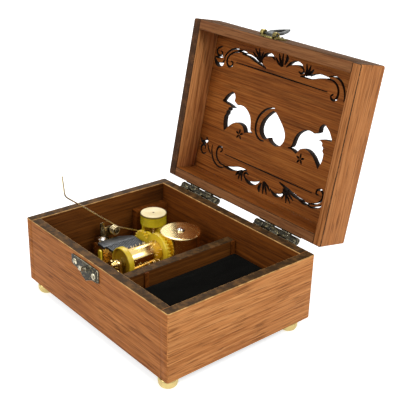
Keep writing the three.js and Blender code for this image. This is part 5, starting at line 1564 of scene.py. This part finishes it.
@dataclass
class StopWire:
    """The stop wire with its coil, and the bracket that holds it.

    Attributes:
        coil_x: how far right the coil's middle lies.
        pivot_y: how far back it lies.
        pivot_z: how high it lies.
        coil_half: half the coil's length along its axis.
        spread: how far the front arm runs beside the coil.
        rear: the rear arm's end, behind and above the coil's middle.
        bend: the front arm's bend, seen the same way.
        tip: the front arm's tip, seen the same way.
    """

    bench: Bench
    radius: float = 0.4
    roundness: int = 4
    coil_x: float = -45.5
    pivot_y: float = -0.2
    pivot_z: float = 25.5
    coil_radius: float = 2.3
    coil_half: float = 1.95
    turns: int = 3
    steps_in_a_turn: int = 32
    spread: float = 2.4
    rear: Spot = (15, -4.5)
    bend: Spot = (-27.4, 25.3)
    tip: Spot = (-28.5, 36.8)
    bend_radius: float = 2
    bend_steps: int = 8
    screw: ScrewHead = ScrewHead(2.5, 1.5, 0.8, 36)

    def spot(self, x: float, y: float, z: float) -> Vector:
        """Returns: a place about the coil's middle, in the row frame."""
        return place(self.coil_x + x, self.pivot_y + y, self.pivot_z + z)

    def rounded(self, line: list[Vector], corner: int) -> list[Vector]:
        """Rounds one corner of a line.

        Args:
            line: the line's points.
            corner: the number of the corner's point.

        Returns:
            The points, with a curve at the corner.
        """
        before, here, after = line[corner - 1:corner + 2]
        start = here + (before - here).normalized() * self.bend_radius * MM
        end = here + (after - here).normalized() * self.bend_radius * MM
        shares = [step / self.bend_steps for step in range(self.bend_steps + 1)]
        return line[:corner] + [start.lerp(here, t).lerp(here.lerp(end, t), t) for t in shares] + line[corner + 1:]

    def leaving(self, arm: Spot, way: int) -> float:
        """Finds where a straight arm leaves the coil.

        Args:
            arm: the arm's end, behind and above the coil's middle.
            way: 1 or -1, the side of the arm that the coil lies on.

        Returns:
            The angle of that place on the coil.
        """
        return math.atan2(arm[1], arm[0]) + way * math.acos(self.coil_radius / math.hypot(*arm))

    def route(self) -> list[Vector]:
        """Returns: the wire's centre line, from its rear end round the coil to its tip."""
        start = self.leaving(self.rear, 1)
        end = self.leaving(self.bend, -1) + math.tau * self.turns
        steps = self.steps_in_a_turn * self.turns
        line = [self.spot(self.coil_half, *self.rear)]
        for step in range(steps + 1):
            t = step / steps
            angle = start + (end - start) * t
            line.append(self.spot(self.coil_half * (1 - 2 * t), self.coil_radius * math.cos(angle),
                                  self.coil_radius * math.sin(angle)))
        left = -self.coil_half - self.spread
        line += [self.spot(left, *self.bend), self.spot(left, *self.tip)]
        return self.rounded(line, len(line) - 2)

    def wire(self) -> BMesh:
        """Returns: the wire as a closed mesh."""
        curve = bpy.data.curves.new("stop_wire_line", "CURVE")
        curve.dimensions = "3D"
        curve.bevel_depth = self.radius * MM
        curve.bevel_resolution = self.roundness
        curve.use_fill_caps = True
        points = self.route()
        spline = curve.splines.new("POLY")
        spline.points.add(len(points) - 1)
        for point, spot in zip(spline.points, points):
            point.co = (*spot, 1)
        line = bpy.data.objects.new("stop_wire_line", curve)
        mesh = bpy.data.meshes.new_from_object(line)
        made = bmesh.new()
        made.from_mesh(mesh)
        bpy.data.objects.remove(line)
        bpy.data.meshes.remove(mesh)
        bmesh.ops.remove_doubles(made, verts=made.verts, dist=MERGE_DISTANCE)
        bmesh.ops.recalc_face_normals(made, faces=made.faces)
        return made

    def build(self) -> None:
        """Builds and dresses the wire and its bracket."""
        self.bench.hand_over(self.wire(), Look("bent_stop_wire", "stop_lever", "bright_steel", (Finish.WIRE_BRASS,),
                                               ("stop_wire",), crease=60))
        self.bench.trim("stop_bracket", "base", "gilt_metal", Finish.BRACKET_GILT, bevel=0.18)
        Screws(self.bench).add("stop_screw", "base", UP, self.screw, Finish.BRIGHT_STEEL, "bright_steel", 30)


@dataclass
class TrayPad:
    """The velvet pad, a foam slab that swells between the walls.

    Attributes:
        margin: how much smaller the slab starts on each side.
        headroom: how much lower it starts.
        corner: the rounding of its upper and upright edges.
        held: the height of the part that stays in place.
        most: how far a point may move.
        swell_height: how high the middle of the top rises.
        settle: how far the whole top sinks.
        dents: the depth of the broad dents, with their waves and starts across and along the pad.
        creases: the depth of the slanting dents, with their waves across and along the pad.
    """

    bench: Bench
    margin: float = 0.75
    headroom: float = 1.5
    corner: float = 1.6
    voxel: float = 1.7
    held: float = 1.2
    most: float = 0.7
    pressure: float = 4
    quality: int = 8
    frames: int = 20
    swell_height: float = 0.95
    settle: float = 0.1
    dents: tuple[float, float, float, float, float] = (0.22, 5.1, 1.3, 6.7, 0.4)
    creases: Triple = (0.12, 11, 7)

    def slab(self, low: Vector, high: Vector) -> Object:
        """Makes the slab before it swells.

        Args:
            low: the pad's lowest corner.
            high: its highest corner.

        Returns:
            The slab, a little smaller than its place.
        """
        made = bmesh.new()
        inset = Vector((self.margin, self.margin, 0)) * MM
        a, b = low + inset, high - inset - UP * self.headroom * MM
        size = b - a
        bmesh.ops.create_cube(made, size=1, matrix=Matrix.Translation((a + b) / 2) @ Matrix.Diagonal((*size, 1)))
        half = 0.5 * size.z
        upper = [e for e in made.edges if all(v.co.z > a.z + half for v in e.verts)]
        sides = [e for e in made.edges if abs(e.verts[0].co.z - e.verts[1].co.z) > half]
        bmesh.ops.bevel(made, geom=upper + sides, offset=self.corner * MM, offset_type="OFFSET", segments=4,
                        profile=0.5, affect="EDGES", material=-1)
        pad = as_object("velvet_pad", made)
        remesh = pad.modifiers.new("even_faces", "REMESH")
        remesh.mode = "VOXEL"
        remesh.voxel_size = self.voxel * MM
        self.apply(pad)
        return pad

    def apply(self, pad: Object) -> None:
        """Makes a piece's live modifiers part of its mesh.

        Args:
            pad: the piece.
        """
        mesh = bpy.data.meshes.new_from_object(pad.evaluated_get(bpy.context.evaluated_depsgraph_get()))
        pad.modifiers.clear()
        pad.data = mesh

    def swell(self, pad: Object) -> None:
        """Swells the slab as cloth under pressure, no further than its place allows.

        Args:
            pad: the slab.
        """
        start = [vert.co.copy() for vert in pad.data.vertices]
        floor = min(point.z for point in start)
        held = pad.vertex_groups.new(name="held")
        held.add([i for i, point in enumerate(start) if point.z < floor + self.held * MM], 1, "REPLACE")
        cloth = pad.modifiers.new("cloth", "CLOTH")
        cloth.settings.use_pressure = True
        cloth.settings.uniform_pressure_force = self.pressure
        cloth.settings.effector_weights.gravity = 0
        cloth.settings.vertex_group_mass = "held"
        cloth.settings.quality = self.quality
        cloth.point_cache.frame_start = 1
        cloth.point_cache.frame_end = self.frames
        for frame in range(1, self.frames + 1):
            bpy.context.scene.frame_set(frame)
        self.apply(pad)
        for vert, point in zip(pad.data.vertices, start):
            moved = vert.co - point
            if moved.length > self.most * MM:
                vert.co = point + moved.normalized() * self.most * MM
        bpy.context.scene.frame_set(1)

    def crown(self, pad: Object, low: Vector, high: Vector) -> None:
        """Raises the middle of the top, with slow dents in the pile.

        Args:
            pad: the pad.
            low: the lowest corner of its place.
            high: the highest corner of its place.
        """
        middle, half = (low + high) / 2, (high - low) / 2
        depth, across, across_start, along, along_start = self.dents
        crease, crease_across, crease_along = self.creases
        for vert in pad.data.vertices:
            up = max(0, (vert.co.z - middle.z) / half.z)
            x, y = (vert.co.x - middle.x) / half.x, (vert.co.y - middle.y) / half.y
            dent = depth * math.sin(across * x + across_start) * math.sin(along * y + along_start)
            dent += crease * math.sin(crease_across * x - crease_along * y)
            rise = self.swell_height * (1 - x ** 4) * (1 - y ** 6) + dent * (1 - x * x) * (1 - y * y) - self.settle
            vert.co.z += up * rise * MM
            vert.co.z = min(vert.co.z, high.z)

    def build(self) -> None:
        """Builds, swells and dresses the pad."""
        low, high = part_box("tray_pad")
        pad = self.slab(low, high)
        self.swell(pad)
        self.crown(pad, low, high)
        pad.data.materials.clear()
        pad.data.materials.append(Finish.VELVET.material)
        for face in pad.data.polygons:
            face.use_smooth = True
        soft = pad.modifiers.new("soft_surface", "SUBSURF")
        soft.levels = soft.render_levels = 1
        self.bench.seat(pad, Look("velvet_pad", "base", "velvet", (Finish.VELVET,), ("tray_pad",)))


@dataclass
class Studio:
    """Camera, floor, soft lamps and a pale surround.

    Attributes:
        floor_lift: how brightly the floor shows behind the object, without lighting it.
        daylight: the strength of the surround as a light.
        target: what the lamps look at.
        lamps: each lamp's name, place, side in metres and power in watts.
    """

    eye: Triple = (0.2928, -0.24285, 0.2242)
    azimuth: float = 48.21
    elevation: float = 24.55
    roll: float = 2.16
    lens: float = 73.9
    sensor: float = 36
    shift: Spot = (-0.0518, 0.0218)
    clip: Spot = (0.01, 20)
    floor_radius: float = 3
    floor_sides: int = 96
    floor_colour: Triple = (0.82, 0.82, 0.82)
    floor_lift: float = 0.62
    daylight: float = 0.42
    target: Triple = (0, 0, 0.05)
    lamps: tuple[tuple[str, Triple, float, float], ...] = (
        ("key", (0.9, 0.1, 1.0), 0.7, 9), ("fill", (-0.3, -1.1, 0.8), 0.8, 7), ("glint", (-0.62, 0.6, 0.85), 0.45, 4))

    def camera(self) -> None:
        """Sets the camera where the photograph was taken from."""
        az, el, roll = (math.radians(a) for a in (self.azimuth, self.elevation, self.roll))
        back = Vector((math.sin(az) * math.cos(el), -math.cos(az) * math.cos(el), math.sin(el)))
        level = Vector((math.cos(az), math.sin(az), 0))
        over = back.cross(level)
        right = math.cos(roll) * level + math.sin(roll) * over
        up = -math.sin(roll) * level + math.cos(roll) * over
        data = bpy.data.cameras.new("camera")
        data.lens = self.lens
        data.sensor_width = self.sensor
        data.sensor_fit = "HORIZONTAL"
        data.shift_x, data.shift_y = self.shift
        data.clip_start, data.clip_end = self.clip
        camera = bpy.data.objects.new("camera", data)
        camera.matrix_world = Matrix.Translation(self.eye) @ Matrix((right, up, back)).transposed().to_4x4()
        bpy.context.scene.collection.objects.link(camera)
        bpy.context.scene.camera = camera

    def seen(self, tree: NodeTree) -> NodeSocket:
        """Tells what the camera sees from what lights the object.

        Args:
            tree: the nodes that ask.

        Returns:
            1 for what the camera sees, straight or by a gloss or through glass.
        """
        path = tree.nodes.new("ShaderNodeLightPath")
        total = path.outputs["Is Camera Ray"]
        for name in ("Is Glossy Ray", "Is Transmission Ray"):
            add = tree.nodes.new("ShaderNodeMath")
            add.operation = "ADD"
            add.use_clamp = True
            tree.links.new(total, add.inputs[0])
            tree.links.new(path.outputs[name], add.inputs[1])
            total = add.outputs[0]
        return total

    def floor(self) -> None:
        """Lays a pale floor that keeps the object's shadow."""
        made = bmesh.new()
        bmesh.ops.create_circle(made, cap_ends=True, segments=self.floor_sides, radius=self.floor_radius)
        floor = as_object("floor", made)
        sheet = NodeSheet("pale_floor")
        sheet.set(base_color=self.floor_colour, roughness=1, specular_ior_level=0, emission_color=(1, 1, 1),
                  emission_strength=sheet.part(self.seen(sheet.tree), self.floor_lift))
        floor.data.materials.append(sheet.material)

    def surround(self) -> None:
        """Sets a white surround that lights the object evenly."""
        world = bpy.data.worlds.new("surround")
        bpy.context.scene.world = world
        world.use_nodes = True
        tree = world.node_tree
        sky = tree.nodes["Background"]
        sky.inputs["Color"].default_value = (1, 1, 1, 1)
        strength = tree.nodes.new("ShaderNodeMapRange")
        strength.inputs["To Min"].default_value = self.daylight
        strength.inputs["To Max"].default_value = 1
        tree.links.new(self.seen(tree), strength.inputs["Value"])
        tree.links.new(strength.outputs["Result"], sky.inputs["Strength"])

    def hang_lamps(self) -> None:
        """Hangs soft square lamps that look at the box."""
        for name, where, size, power in self.lamps:
            data = bpy.data.lights.new(name, "AREA")
            data.size = size
            data.energy = power
            light = bpy.data.objects.new(name, data)
            light.location = where
            away = Vector(where) - Vector(self.target)
            light.rotation_euler = away.to_track_quat("Z", "Y").to_euler()
            bpy.context.scene.collection.objects.link(light)

    def build(self) -> None:
        """Builds the studio."""
        self.camera()
        self.floor()
        self.surround()
        self.hang_lamps()
        bpy.context.scene.view_settings.view_transform = "Standard"


def main() -> None:
    """Builds the dressed box in its studio."""
    logging.basicConfig(level=logging.INFO, format="%(message)s")
    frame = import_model()
    bench = Bench(frame)
    Studio().build()
    for assembly in (WoodenBase, Feet, TrayPad, WoodenLid, Hardware, CombAndBed, PinnedCylinder, SpringMotor, Governor,
                     StopWire):
        log.info("building %s", assembly.__name__)
        assembly(bench).build()
    bpy.context.view_layer.update()


if __name__ == "__main__":
    main()
